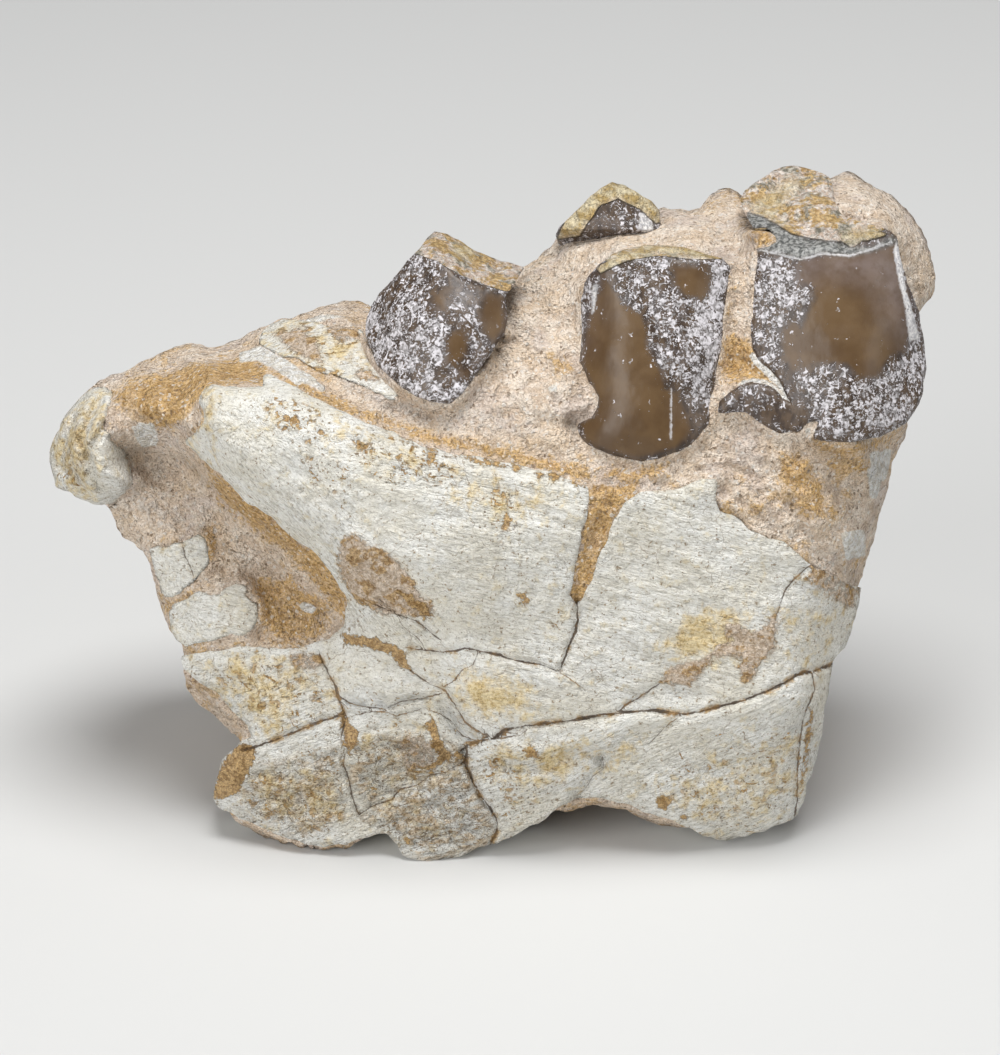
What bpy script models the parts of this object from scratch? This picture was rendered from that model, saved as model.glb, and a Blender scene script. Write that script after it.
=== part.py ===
"""Fossil piece of an upper jaw: cracked bone over a block of sandy matrix, with three dark teeth on top.

The row frame has +Z up and the outer side of the jaw towards -Y. The origin is in the middle of the
small flat spot that the block rests on.

The shape is laid out in a view frame: px runs to the right and py down, in units of UNIT_MM on the
reference plane, and depth w runs away from the eye in mm. Sides that nobody sees run along the eye's
lines of sight, so the outlines below are the object's outlines from the front.
"""

import math

import bpy
import numpy as np
from mathutils.geometry import delaunay_2d_cdt

LENGTH_MM = 130.0
OUTLINE_WIDE = 883.0
UNIT_MM = LENGTH_MM / OUTLINE_WIDE
EYE_MM = 620.0
EYE_TILT = math.radians(28.0)
CENTRE_PX = 500.0
CENTRE_PY = 527.5
ORIGIN_MM = (-4.0, -15.5, 48.6)
BACK_LOW_MM = 21.0
BACK_HIGH_MM = 28.0
BONE_MM = 9.0
GAP_MM = 0.32
REST_HALF_X = 17.0
REST_HALF_Y = 11.0
REST_SUNK_MM = 0.4
CRACK_HALF_MM = 0.6

BLOCK_OUTLINE = [
    (51, 455), (53, 443), (58, 430), (60, 420), (65, 411), (72, 404), (80, 396), (88, 389), (100, 380),
    (112, 374), (128, 369), (140, 362), (150, 356), (163, 351), (178, 346), (190, 343), (200, 344),
    (210, 347), (222, 345), (240, 339), (252, 333), (265, 328), (278, 320), (290, 318), (315, 308),
    (330, 303), (345, 301), (358, 302), (370, 306), (382, 318), (405, 312), (430, 300), (455, 288),
    (480, 280), (500, 272), (520, 266), (530, 261), (540, 254), (550, 246), (558, 236), (572, 232),
    (600, 234), (640, 226), (655, 212), (662, 207), (680, 209), (690, 211), (700, 208), (707, 199),
    (714, 192), (728, 186), (738, 192), (752, 205), (780, 214), (808, 208), (822, 188), (830, 176),
    (839, 174), (847, 172), (855, 175), (863, 180), (872, 184), (881, 188), (890, 194), (898, 200),
    (905, 208), (913, 217), (920, 227), (925, 240), (929, 252), (933, 265), (934, 280), (935, 292),
    (930, 300), (924, 305), (919, 314), (912, 350), (909, 390), (907, 420), (906, 435), (900, 448),
    (893, 462), (888, 478), (883, 503), (876, 530), (872, 545), (866, 560), (862, 575), (856, 592),
    (849, 618), (842, 633), (834, 646), (826, 662), (826, 680), (824, 705), (823, 735), (818, 755),
    (810, 772), (802, 788), (796, 801), (788, 812), (768, 822), (745, 829), (725, 832), (705, 829),
    (680, 827), (660, 825), (640, 818), (625, 811), (600, 807), (585, 806), (565, 812), (545, 812),
    (520, 824), (498, 834), (475, 841), (455, 848), (440, 851), (425, 854), (410, 850), (400, 838),
    (385, 828), (372, 830), (360, 842), (345, 847), (325, 848), (305, 850), (292, 848), (265, 838),
    (250, 828), (235, 821), (225, 806), (224, 796), (228, 778), (232, 766), (240, 755), (244, 745),
    (240, 738), (232, 732), (222, 722), (212, 712), (200, 702), (190, 688), (182, 672), (184, 655),
    (182, 645), (174, 635), (168, 625), (164, 612), (160, 600), (155, 588), (152, 575), (147, 563),
    (141, 552), (134, 543), (125, 537), (117, 525), (112, 512), (100, 498), (85, 492), (68, 484),
    (60, 475), (57, 465),
]
JAW_OUTLINE = [
    (212, 387), (240, 386), (265, 385), (300, 398), (340, 412), (378, 427), (395, 433), (420, 443),
    (445, 453), (470, 455), (497, 463), (525, 466), (555, 474), (588, 487), (586, 515), (580, 550),
    (572, 580), (569, 595), (574, 603), (582, 597), (592, 580), (597, 562), (606, 542), (614, 520),
    (624, 504), (640, 492), (675, 490), (700, 480), (716, 478), (715, 497), (722, 512), (738, 514),
    (748, 528), (770, 538), (785, 540), (798, 555), (814, 566), (832, 574), (846, 584), (863, 590),
    (856, 620), (850, 635), (842, 648), (832, 662), (830, 680), (826, 710), (823, 735), (818, 755),
    (812, 772), (806, 790), (803, 803), (797, 815), (790, 822), (770, 830), (745, 838), (725, 840),
    (705, 836), (690, 828), (665, 819), (645, 812), (625, 805), (600, 798), (588, 796), (576, 798),
    (560, 808), (545, 820), (520, 834), (498, 842), (475, 849), (455, 857), (440, 860), (425, 863),
    (412, 860), (402, 854), (396, 844), (385, 833), (372, 836), (350, 842), (325, 846), (305, 845),
    (280, 835), (250, 821), (225, 813), (215, 804), (213, 797), (218, 775), (222, 762), (232, 752),
    (242, 742), (252, 738), (245, 722), (228, 705), (215, 690), (200, 683), (182, 670), (180, 657),
    (220, 650), (245, 645), (285, 648), (305, 644), (330, 638), (345, 626), (348, 608), (345, 592),
    (338, 582), (330, 570), (320, 560), (310, 550), (290, 535), (270, 515), (255, 508), (235, 490),
    (215, 470), (205, 460), (190, 445), (186, 430), (193, 408), (203, 392),
]
LUMP_OUTLINE = [
    (51, 455), (53, 443), (58, 430), (60, 420), (65, 411), (72, 404), (80, 396), (90, 389), (104, 388),
    (112, 395), (108, 412), (104, 428), (112, 440), (124, 450), (130, 466), (131, 482), (126, 494),
    (113, 505), (100, 505), (90, 503), (75, 497), (62, 490), (54, 485), (52, 470),
]
UPPER_FLAKE_OUTLINE = [
    (147, 552), (160, 545), (175, 541), (190, 538), (203, 537), (208, 550), (208, 565), (200, 573),
    (193, 579), (184, 586), (172, 596), (164, 594), (158, 582), (152, 568),
]
LOWER_FLAKE_OUTLINE = [
    (172, 605), (185, 598), (200, 595), (212, 597), (222, 592), (230, 585), (245, 583), (251, 590),
    (256, 600), (258, 612), (255, 622), (245, 631), (230, 637), (212, 642), (195, 647), (183, 648),
    (176, 638), (170, 626),
]
SOCKET_OUTLINE = [
    (268, 330), (285, 322), (305, 319), (330, 321), (352, 324), (366, 330), (370, 350), (379, 368),
    (392, 382), (378, 388), (352, 379), (328, 370), (304, 358), (282, 346),
]
LEFT_TOOTH_OUTLINE = [
    (435, 231), (427, 238), (420, 247), (410, 257), (400, 269), (390, 281), (380, 293), (372, 306),
    (367, 318), (366, 333), (369, 348), (378, 365), (387, 375), (398, 384), (415, 395), (434, 402),
    (450, 404), (463, 392), (478, 372), (493, 350), (504, 335), (507, 320), (507, 305), (507, 294),
    (516, 282), (525, 266), (512, 263), (500, 261), (488, 256), (475, 250), (460, 241), (447, 234),
]
MIDDLE_TOOTH_OUTLINE = [
    (583, 282), (590, 272), (602, 262), (612, 254), (630, 248), (660, 245), (685, 248), (705, 254),
    (722, 259), (730, 268), (728, 290), (724, 315), (721, 345), (716, 370), (712, 392), (710, 408),
    (708, 424), (698, 438), (688, 447), (672, 454), (658, 459), (643, 462), (628, 460), (612, 456),
    (598, 451), (588, 445), (580, 435), (577, 424), (578, 408), (580, 385), (581, 360), (580, 335),
    (581, 308),
]
INNER_CUSP_OUTLINE = [
    (556, 234), (560, 226), (566, 220), (574, 213), (582, 205), (590, 197), (600, 188), (611, 183),
    (625, 186), (640, 194), (652, 202), (660, 212), (662, 228), (658, 250), (652, 285), (640, 310),
    (605, 312), (580, 300), (568, 270), (560, 248),
]
RIGHT_TOOTH_OUTLINE = [
    (745, 190), (755, 183), (764, 178), (773, 171), (782, 167), (792, 165), (805, 167), (818, 171),
    (829, 176), (833, 188), (836, 202), (844, 213), (860, 221), (877, 226), (890, 230), (897, 236),
    (900, 250), (903, 268), (907, 284), (914, 300), (919, 312), (923, 330), (926, 348), (927, 368),
    (922, 396), (914, 412), (905, 424), (893, 431), (880, 436), (865, 440), (850, 443), (835, 443),
    (822, 442), (813, 439), (815, 430), (819, 421), (811, 421), (804, 426), (799, 433), (790, 432),
    (780, 434), (768, 428), (756, 421), (746, 412), (734, 411), (725, 414), (717, 413), (719, 402),
    (728, 392), (740, 385), (752, 382), (765, 384), (775, 390), (783, 399), (790, 403), (785, 392),
    (779, 381), (771, 371), (761, 363), (752, 350), (750, 335), (752, 318), (753, 298), (754, 280),
    (757, 262), (757, 248), (768, 246), (776, 239), (769, 229), (753, 229), (745, 213), (741, 198),
]

MAIN_CRACKS = [
    [(448, 758), (472, 745), (505, 731), (560, 722), (600, 715), (655, 710), (700, 712), (745, 700),
     (785, 683), (812, 672), (846, 660)],
    [(573, 594), (577, 620), (570, 643), (560, 676)],
    [(322, 655), (337, 692), (344, 735), (349, 780), (359, 824)],
    [(234, 753), (275, 740), (320, 722), (348, 712)],
    [(466, 745), (468, 770), (485, 803), (497, 826), (490, 856)],
    [(352, 818), (390, 800), (430, 775), (472, 760)],
    [(404, 645), (440, 652), (480, 651), (512, 660), (566, 673)],
]

BLOCK_DEPTHS = [
    (65, 411, 6), (88, 389, 7), (128, 369, 8), (178, 346, 10), (222, 345, 10), (265, 328, 11),
    (315, 308, 12), (358, 302, 12), (100, 410, 1), (140, 390, 1), (190, 375, 2), (235, 370, 1),
    (280, 350, 3), (320, 335, 4), (350, 325, 5), (60, 450, 5), (80, 440, -1), (100, 470, -2),
    (85, 490, 2), (120, 485, 1), (110, 430, -2), (132, 445, 2), (150, 400, -3), (180, 420, -6),
    (200, 375, -2), (240, 378, -5), (212, 390, -8.5), (200, 430, -9), (240, 400, -10.5),
    (260, 430, -13), (230, 450, -11.5), (300, 415, -13), (340, 435, -13.5), (380, 450, -13.5),
    (420, 465, -13), (460, 478, -12.5), (500, 490, -12), (550, 500, -11.5), (590, 510, -11),
    (125, 455, 4), (160, 460, 5), (190, 475, 3), (140, 500, 5), (170, 510, 5), (215, 515, 3.5),
    (250, 545, 2.5), (200, 520, 4), (280, 570, 2), (310, 590, 1.5), (328, 615, 1.5), (230, 560, 3),
    (120, 500, 6), (135, 530, 7), (222, 470, -8), (262, 500, -9), (302, 530, -9), (335, 560, -8),
    (355, 590, -6), (370, 640, -2), (300, 470, -13), (350, 500, -13), (400, 520, -12.5),
    (450, 540, -12), (500, 550, -11), (380, 560, -10.5), (430, 590, -8.5), (480, 600, -8),
    (180, 560, 4.5), (210, 615, 4), (150, 580, 8), (165, 630, 9), (240, 610, 3), (200, 665, 6),
    (250, 690, 4), (300, 680, 3), (220, 700, 8), (330, 700, 2.5), (260, 730, 6), (240, 770, 9),
    (300, 780, 6.5), (330, 760, 5), (300, 830, 10), (240, 800, 11), (340, 820, 8.5), (380, 730, 2),
    (420, 760, 4), (430, 820, 7.5), (430, 855, 10), (470, 800, 7), (390, 790, 6.5), (360, 670, -0.5),
    (420, 680, -1), (480, 700, -1), (540, 700, -2), (450, 730, 2), (600, 560, -8.5),
    (560, 620, -5.5), (640, 620, -5.5), (600, 660, -3.5), (640, 540, -9), (700, 520, -9.5),
    (700, 600, -6.5), (760, 580, -6.5), (780, 640, -3.5), (700, 680, -2), (520, 760, 2.5),
    (560, 790, 5.5), (600, 780, 5), (640, 760, 3), (700, 760, 3), (760, 760, 4), (700, 810, 7.5),
    (760, 820, 11), (800, 780, 9), (620, 795, 6.5), (740, 835, 13), (820, 620, -1.5), (855, 600, 4),
    (850, 540, -3), (868, 560, 6), (880, 480, 0), (895, 450, 7), (800, 500, -8.5), (840, 480, -6.5),
    (830, 690, 7), (810, 700, 2), (800, 740, 5), (815, 755, 10), (590, 470, -10.5), (640, 480, -11),
    (700, 470, -10.5), (760, 460, -10), (820, 460, -9), (870, 450, -5), (400, 420, -9.5),
    (440, 430, -10.5), (480, 440, -10.5), (530, 450, -10.5), (560, 460, -10.5), (360, 395, -8),
    (380, 405, -9), (330, 380, -5.5), (300, 375, -5), (470, 410, -9.5), (510, 380, -7.5),
    (550, 390, -9), (580, 440, -10.5), (540, 340, -5), (570, 330, -6), (520, 320, -3.5),
    (540, 290, 0), (520, 275, 5), (565, 270, 1), (555, 245, 9), (575, 290, -3), (430, 330, -3),
    (400, 325, 1), (460, 300, 3), (380, 325, 5), (650, 350, -5), (650, 430, -7), (610, 300, -4),
    (700, 300, -4), (640, 262, -4.5), (620, 255, -5), (640, 238, 1), (600, 240, 1.5),
    (690, 248, -4), (690, 225, 2), (680, 212, 7), (705, 203, 9), (730, 190, 11), (738, 300, -7.5),
    (738, 350, -8), (735, 400, -9), (738, 265, -5.5), (740, 240, -1), (745, 215, 4),
    (840, 350, -4), (840, 400, -6), (840, 300, -3), (840, 260, -2), (800, 225, 3), (762, 238, -5),
    (845, 208, -3), (865, 212, -3), (885, 222, -4), (838, 190, 2), (862, 195, 2), (850, 178, 8),
    (882, 200, 3.5), (900, 212, 5), (912, 232, 4), (896, 232, -3),
    (920, 270, 3), (930, 285, 6), (905, 262, 0), (908, 300, 2), (912, 360, 2), (905, 430, 3),
]
LEFT_TOOTH_DEPTHS = [
    (437, 258, -8), (425, 272, -7.6), (410, 285, -7), (395, 295, -6), (380, 312, -4), (370, 335, -3.5),
    (400, 320, -8.5), (430, 300, -10), (470, 290, -9.8), (503, 300, -8.8), (420, 350, -11),
    (460, 340, -12), (495, 335, -10.5), (400, 378, -9.5), (440, 395, -12), (470, 372, -11.8),
    (383, 355, -6.5), (480, 315, -11), (430, 235, -6), (500, 262, -8),
]
MIDDLE_TOOTH_DEPTHS = [
    (585, 285, -7.5), (583, 350, -7.5), (580, 420, -8), (605, 275, -11), (605, 350, -11.2),
    (600, 430, -11), (650, 268, -11), (650, 350, -12.4), (650, 430, -12.6), (700, 272, -10.8),
    (700, 350, -11.8), (695, 430, -11.5), (728, 275, -9), (722, 340, -9.4), (712, 400, -9.6),
    (640, 460, -11), (680, 320, -12),
]
RIGHT_TOOTH_DEPTHS = [
    (756, 255, -8.5), (800, 255, -11), (845, 252, -11.4), (893, 240, -9.5), (760, 320, -9.5),
    (800, 320, -11.8), (850, 320, -12.8), (900, 320, -10), (925, 350, -5), (800, 400, -12),
    (850, 400, -13.4), (900, 400, -9.5), (850, 440, -12), (880, 360, -12), (760, 395, -11.4),
    (740, 395, -11.2), (720, 405, -10.6), (775, 425, -11.4), (760, 415, -11.2), (775, 380, -10.8),
    (790, 425, -11.6), (915, 300, -7.5),
]


def lattice_noise(points, size, seed):
    """Smooth noise from -1 to 1 over points in mm."""
    scaled = np.asarray(points, float) / size
    cell = np.floor(scaled)
    part = scaled - cell
    part = part * part * (3.0 - 2.0 * part)
    total = np.zeros(len(scaled))
    for corner in np.ndindex(2, 2, 2):
        corner = np.array(corner)
        mixed = np.sin((cell + corner) @ np.array([127.1, 311.7, 74.7]) + seed * 17.3) * 43758.5453
        weight = np.prod(np.where(corner, part, 1.0 - part), axis=1)
        total += weight * (mixed - np.floor(mixed))
    return 2.0 * total - 1.0


def depth_through(samples, softness=4.0):
    """A smooth depth over (px, py) that passes near samples of (px, py, depth)."""
    samples = np.array(samples, float)
    centres = samples[:, :2] / 100.0
    count = len(centres)

    def kernel(a, b):
        squared = ((a[:, None, :] - b[None, :, :]) ** 2).sum(axis=2)
        return 0.5 * squared * np.log(squared + 1e-9)

    system = np.zeros((count + 3, count + 3))
    system[:count, :count] = kernel(centres, centres) + np.eye(count) * softness * 0.001
    system[:count, count] = 1.0
    system[:count, count + 1:] = centres
    system[count:, :count] = system[:count, count:].T
    weights = np.linalg.solve(system, np.concatenate([samples[:, 2], np.zeros(3)]))

    def depth(px, py):
        at = np.stack([px, py], axis=1) / 100.0
        return kernel(at, centres) @ weights[:count] + weights[count] + at @ weights[count + 1:]

    return depth


def edge_distance(px, py, outline):
    """How far each point is from a closed outline, in mm."""
    start = np.array(outline, float)
    along = np.roll(start, -1, axis=0) - start
    best = np.full(len(px), 1e9)
    for (ax, ay), (bx, by) in zip(start, along):
        share = ((px - ax) * bx + (py - ay) * by) / max(bx * bx + by * by, 1e-9)
        share = np.clip(share, 0.0, 1.0)
        best = np.minimum(best, (px - ax - share * bx) ** 2 + (py - ay - share * by) ** 2)
    return np.sqrt(best) * UNIT_MM


def rim_round(distance, radius):
    """How much deeper a rounded rim lies at this distance from the edge."""
    inside = np.clip(radius - distance, 0.0, radius)
    return radius - np.sqrt(np.maximum(radius * radius - inside * inside, 0.0))


def smooth_max(a, b, width):
    return 0.5 * (a + b + np.sqrt((a - b) ** 2 + width * width))


def row_frame(px, py, w):
    """Points of the view frame in the row frame, in mm."""
    scale = UNIT_MM * (EYE_MM + w) / EYE_MM
    across = (px - CENTRE_PX) * scale
    up = (CENTRE_PY - py) * scale
    x = ORIGIN_MM[0] + across
    y = ORIGIN_MM[1] + up * math.sin(EYE_TILT) + w * math.cos(EYE_TILT)
    z = ORIGIN_MM[2] + up * math.cos(EYE_TILT) - w * math.sin(EYE_TILT)
    return np.stack([x, y, z], axis=1)


def depth_at_height(py, height):
    """The depth at which the line of sight through py is at this height."""
    up = (CENTRE_PY - py) * UNIT_MM
    return (ORIGIN_MM[2] + up * math.cos(EYE_TILT) - height) / (
        math.sin(EYE_TILT) - up * math.cos(EYE_TILT) / EYE_MM
    )


def depth_at_back(py, y):
    """The depth at which the line of sight through py reaches this y."""
    up = (CENTRE_PY - py) * UNIT_MM
    return (y - ORIGIN_MM[1] - up * math.sin(EYE_TILT)) / (
        math.cos(EYE_TILT) + up * math.sin(EYE_TILT) / EYE_MM
    )


block_depth = depth_through(BLOCK_DEPTHS)
left_tooth_depth = depth_through(LEFT_TOOTH_DEPTHS)
middle_tooth_depth = depth_through(MIDDLE_TOOTH_DEPTHS)
right_tooth_depth = depth_through(RIGHT_TOOTH_DEPTHS)


def matrix_front(px, py):
    front = block_depth(px, py) + 0.5 + rim_round(edge_distance(px, py, BLOCK_OUTLINE), 3.0)
    place = np.stack([px, py, px * 0.0], axis=1) * UNIT_MM
    return front + 0.7 * lattice_noise(place, 9.0, 3) + 0.35 * lattice_noise(place, 4.0, 5)


def bone_front(outline, raised, radius):
    def front(px, py):
        place = np.stack([px, py, px * 0.0], axis=1) * UNIT_MM
        lifted = block_depth(px, py) - raised + 0.4 * lattice_noise(place, 7.0, 11)
        return lifted + rim_round(edge_distance(px, py, outline), radius)

    return front


def bone_back(px, py):
    place = np.stack([px, py, px * 0.0], axis=1) * UNIT_MM
    leaning = (py - 490.0) * 0.0535 - 9.0 + 5.0 * np.clip((330.0 - px) / 200.0, 0.0, 1.0)
    return leaning + BONE_MM + 1.6 * lattice_noise(place, 9.0, 13) + 0.8 * lattice_noise(place, 4.0, 14)


def thin_back(outline, thickness, radius):
    def back(px, py):
        return block_depth(px, py) + thickness - rim_round(edge_distance(px, py, outline), radius)

    return back


def tooth_back(outline, y, radius):
    def back(px, py):
        return depth_at_back(py, y) - rim_round(edge_distance(px, py, outline), radius)

    return back


def matrix_back(px, py):
    """The back, upright and lumpy, and under it the broken bottom with its flat spot."""
    wall = depth_at_back(py, np.interp(py, [200.0, 700.0], [BACK_HIGH_MM, BACK_LOW_MM]))
    across = (px - CENTRE_PX) * UNIT_MM
    height = (CENTRE_PY - py) * UNIT_MM - 0.5 * wall
    place = np.stack([across, height, across * 0.0], axis=1)
    lumps = 3.6 * lattice_noise(place, 26.0, 21) + 1.7 * lattice_noise(place, 11.0, 23)
    lumps = lumps + 0.7 * lattice_noise(place, 5.0, 24)
    wall = wall + lumps - 5.0 * ((px - 520.0) / 420.0) ** 2
    wall = wall - rim_round(edge_distance(px, py, BLOCK_OUTLINE), 8.0)
    floor = depth_at_height(py, 0.0)
    spot = row_frame(px, py, floor)
    away = np.hypot(spot[:, 0] / REST_HALF_X, spot[:, 1] / REST_HALF_Y) - 1.0
    broken = np.clip(away, 0.0, 1.0) * (2.0 + 1.2 * lattice_noise(spot, 7.0, 31))
    return np.minimum(wall, depth_at_height(py, broken - REST_SUNK_MM))


def left_tooth_front(px, py):
    chewed = depth_at_height(py, np.interp(px, [437.0, 506.0], [86.6, 82.8]))
    return smooth_max(left_tooth_depth(px, py), chewed, 0.8) + rim_round(
        edge_distance(px, py, LEFT_TOOTH_OUTLINE), 1.6
    )


def middle_tooth_front(px, py):
    chewed = depth_at_height(py, np.interp(px, [600.0, 660.0, 725.0], [87.6, 88.4, 87.4]))
    return smooth_max(middle_tooth_depth(px, py), chewed, 0.8) + rim_round(
        edge_distance(px, py, MIDDLE_TOOTH_OUTLINE), 1.8
    )


def inner_cusp_front(px, py):
    face = 1.0 - 0.03 * (py - 235.0) + 0.0012 * (px - 612.0) ** 2
    chewed = depth_at_height(py, 91.5 - 0.03 * np.abs(px - 612.0))
    return smooth_max(face, chewed, 0.8) + rim_round(
        edge_distance(px, py, INNER_CUSP_OUTLINE), 1.2
    )


def right_tooth_front(px, py):
    edge_height = np.interp(px, [757.0, 845.0, 893.0], [89.0, 89.4, 91.0])
    chewed = depth_at_height(py, edge_height + 0.045 * np.clip(245.0 - py, 0.0, 90.0))
    place = np.stack([px, py, px * 0.0], axis=1) * UNIT_MM
    chewed = chewed + 0.8 * lattice_noise(place, 5.0, 41)
    return smooth_max(right_tooth_depth(px, py), chewed, 0.8) + rim_round(
        edge_distance(px, py, RIGHT_TOOTH_OUTLINE), 2.0
    )


# Thin pieces of bone: name, outline, raised, rim, thickness and back rim in mm, grid in mm, triangles
SMALL_BONES = [
    ("bone_lump", LUMP_OUTLINE, 0.8, 2.5, 9.0, 4.0, 0.9, 220),
    ("bone_flake_upper", UPPER_FLAKE_OUTLINE, 0.8, 0.8, 3.5, 1.0, 0.7, 130),
    ("bone_flake_lower", LOWER_FLAKE_OUTLINE, 0.8, 0.8, 3.5, 1.0, 0.7, 150),
    ("socket_rim", SOCKET_OUTLINE, 0.6, 1.0, 5.0, 1.0, 0.8, 170),
]
# Teeth: name, outline, front, back y, back rim, room for depth and grid in mm, taper, triangles
TEETH = [
    ("tooth_left", LEFT_TOOTH_OUTLINE, left_tooth_front, 9.0, 4.0, 16.0, 0.9, 0.3, 380),
    ("tooth_middle", MIDDLE_TOOTH_OUTLINE, middle_tooth_front, 15.0, 4.0, 20.0, 0.9, 0.2, 380),
    ("inner_cusp", INNER_CUSP_OUTLINE, inner_cusp_front, 22.0, 4.0, 14.0, 0.8, 0.2, 200),
    ("tooth_right", RIGHT_TOOTH_OUTLINE, right_tooth_front, 23.0, 5.0, 24.0, 0.9, 0.3, 520),
]


def drawn_in(px, py, share, taper, centre):
    """Draws the outline in towards the back, so that the front alone makes the silhouette."""
    inwards = taper * np.clip((share - 0.25) / 0.75, 0.0, 1.0) ** 1.4
    return px - (px - centre[0]) * inwards, py - (py - centre[1]) * inwards


def drop_loose_pieces(mesh_object):
    """Keeps the largest connected piece."""
    mesh = mesh_object.data
    count = len(mesh.vertices)
    group = np.arange(count)
    ends = np.array([edge.vertices[:] for edge in mesh.edges])
    for _ in range(400):
        before = group.copy()
        low = np.minimum(group[ends[:, 0]], group[ends[:, 1]])
        np.minimum.at(group, ends[:, 0], low)
        np.minimum.at(group, ends[:, 1], low)
        group = group[group]
        if (group == before).all():
            break
    names, sizes = np.unique(group, return_counts=True)
    keep = group == names[np.argmax(sizes)]
    if keep.all():
        return
    index = np.cumsum(keep) - 1
    places = [vertex.co[:] for vertex, kept in zip(mesh.vertices, keep) if kept]
    faces = [
        [int(index[v]) for v in polygon.vertices]
        for polygon in mesh.polygons
        if keep[polygon.vertices[0]]
    ]
    mesh.clear_geometry()
    mesh.from_pydata(places, [], faces)
    mesh.update()


def apply_modifiers(mesh_object):
    """Bakes an object's modifiers into its mesh."""
    graph = bpy.context.evaluated_depsgraph_get()
    baked = bpy.data.meshes.new_from_object(mesh_object.evaluated_get(graph))
    old = mesh_object.data
    mesh_object.modifiers.clear()
    mesh_object.data = baked
    bpy.data.meshes.remove(old)


def pillow(name, outline, front, back, thickness, voxel, taper, triangles):
    """A closed body between a front and a back depth, inside an outline."""
    outline = np.array(outline, float)
    flat = (outline - [CENTRE_PX, CENTRE_PY]) * [UNIT_MM, -UNIT_MM]
    order = list(range(len(flat)))
    places, _, faces, _, _, _ = delaunay_2d_cdt([tuple(p) for p in flat], [], [order], 1, 1e-5)
    mesh = bpy.data.meshes.new(name)
    mesh.from_pydata([(p[0] * 0.001, p[1] * 0.001, 0.0) for p in places], [], faces)
    body = bpy.data.objects.new(name, mesh)
    parts.objects.link(body)
    wall = body.modifiers.new("thickness", "SOLIDIFY")
    wall.thickness = thickness * 0.001
    wall.offset = -1.0
    remesh = body.modifiers.new("grid", "REMESH")
    remesh.mode = "VOXEL"
    remesh.voxel_size = voxel * 0.001
    apply_modifiers(body)
    mesh = body.data
    spots = np.empty(len(mesh.vertices) * 3)
    mesh.vertices.foreach_get("co", spots)
    spots = spots.reshape(-1, 3) * 1000.0
    px = spots[:, 0] / UNIT_MM + CENTRE_PX
    py = CENTRE_PY - spots[:, 1] / UNIT_MM
    share = (spots[:, 2] - spots[:, 2].min()) / np.ptp(spots[:, 2])
    if abs(spots[:, 2].max()) < abs(spots[:, 2].min()):
        share = 1.0 - share
    centre = 0.5 * (outline.min(axis=0) + outline.max(axis=0))
    inner_px, inner_py = drawn_in(px, py, share, taper, centre)
    near = front(px, py)
    far = np.maximum(back(inner_px, inner_py), near + 1.5)
    depth = near + (far - near) * share
    placed = row_frame(inner_px, inner_py, depth)
    mesh.vertices.foreach_set("co", (placed * 0.001).ravel())
    mesh.update()
    fewer = body.modifiers.new("fewer faces", "DECIMATE")
    fewer.ratio = min(1.0, triangles / sum(len(face.vertices) - 2 for face in mesh.polygons))
    fewer.use_collapse_triangulate = True
    apply_modifiers(body)
    return body


def floor_cutter():
    """A slab under the floor level, which leaves a true flat where a body reaches below it."""
    low, high = -0.1, 0.1
    corners = [(x, y, z) for z in (low, 0.0) for y in (low, high) for x in (low, high)]
    faces = [(0, 2, 3, 1), (4, 5, 7, 6), (0, 1, 5, 4), (2, 6, 7, 3), (0, 4, 6, 2), (1, 3, 7, 5)]
    mesh = bpy.data.meshes.new("floor_level")
    mesh.from_pydata(corners, [], faces)
    slab = bpy.data.objects.new("floor_level", mesh)
    cutters.objects.link(slab)
    slab.hide_render = True
    slab.display_type = "WIRE"
    return slab


def crack_cutter(name, points, front):
    """A four-sided tube along a crack, sunk halfway into a front."""
    px, py = np.array(points, float).T
    path = row_frame(px, py, front(px, py)) * 0.001
    curve = bpy.data.curves.new(name, "CURVE")
    curve.dimensions = "3D"
    curve.bevel_depth = CRACK_HALF_MM * 0.001
    curve.bevel_resolution = 0
    curve.use_fill_caps = True
    line = curve.splines.new("POLY")
    line.points.add(len(path) - 1)
    for point, place in zip(line.points, path):
        point.co = (*place, 1.0)
    tube = bpy.data.objects.new(name + "_line", curve)
    cutters.objects.link(tube)
    tube.hide_render = True
    graph = bpy.context.evaluated_depsgraph_get()
    mesh = bpy.data.meshes.new_from_object(tube.evaluated_get(graph))
    cutter = bpy.data.objects.new(name, mesh)
    cutters.objects.link(cutter)
    cutter.hide_render = True
    cutter.display_type = "WIRE"
    bpy.data.objects.remove(tube)
    return cutter


def thin_bone(name, outline, raised, rim, thickness, back_rim, voxel, triangles):
    front = bone_front(outline, raised, rim)
    back = thin_back(outline, thickness, back_rim)
    return pillow(name, outline, front, back, thickness, voxel, 0.0, triangles)


def grown(source, amount):
    """A hidden copy of a body, this much larger all round, to cut with."""
    copy = source.copy()
    copy.data = source.data.copy()
    copy.name = "room_for_" + source.name
    cutters.objects.link(copy)
    copy.hide_render = True
    copy.display_type = "WIRE"
    wider = copy.modifiers.new("room", "DISPLACE")
    wider.strength = amount * 0.001
    wider.mid_level = 0.0
    return copy


def combine(target, other, operation):
    step = target.modifiers.new(operation.lower(), "BOOLEAN")
    step.operation = operation
    step.solver = "EXACT"
    step.object = other
    apply_modifiers(target)


def finish(name, colour, roughness):
    material = bpy.data.materials.new(name)
    material.use_nodes = True
    shader = material.node_tree.nodes["Principled BSDF"]
    shader.inputs["Base Color"].default_value = (*colour, 1.0)
    shader.inputs["Roughness"].default_value = roughness
    shader.inputs["Metallic"].default_value = 0.0
    return material


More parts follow.
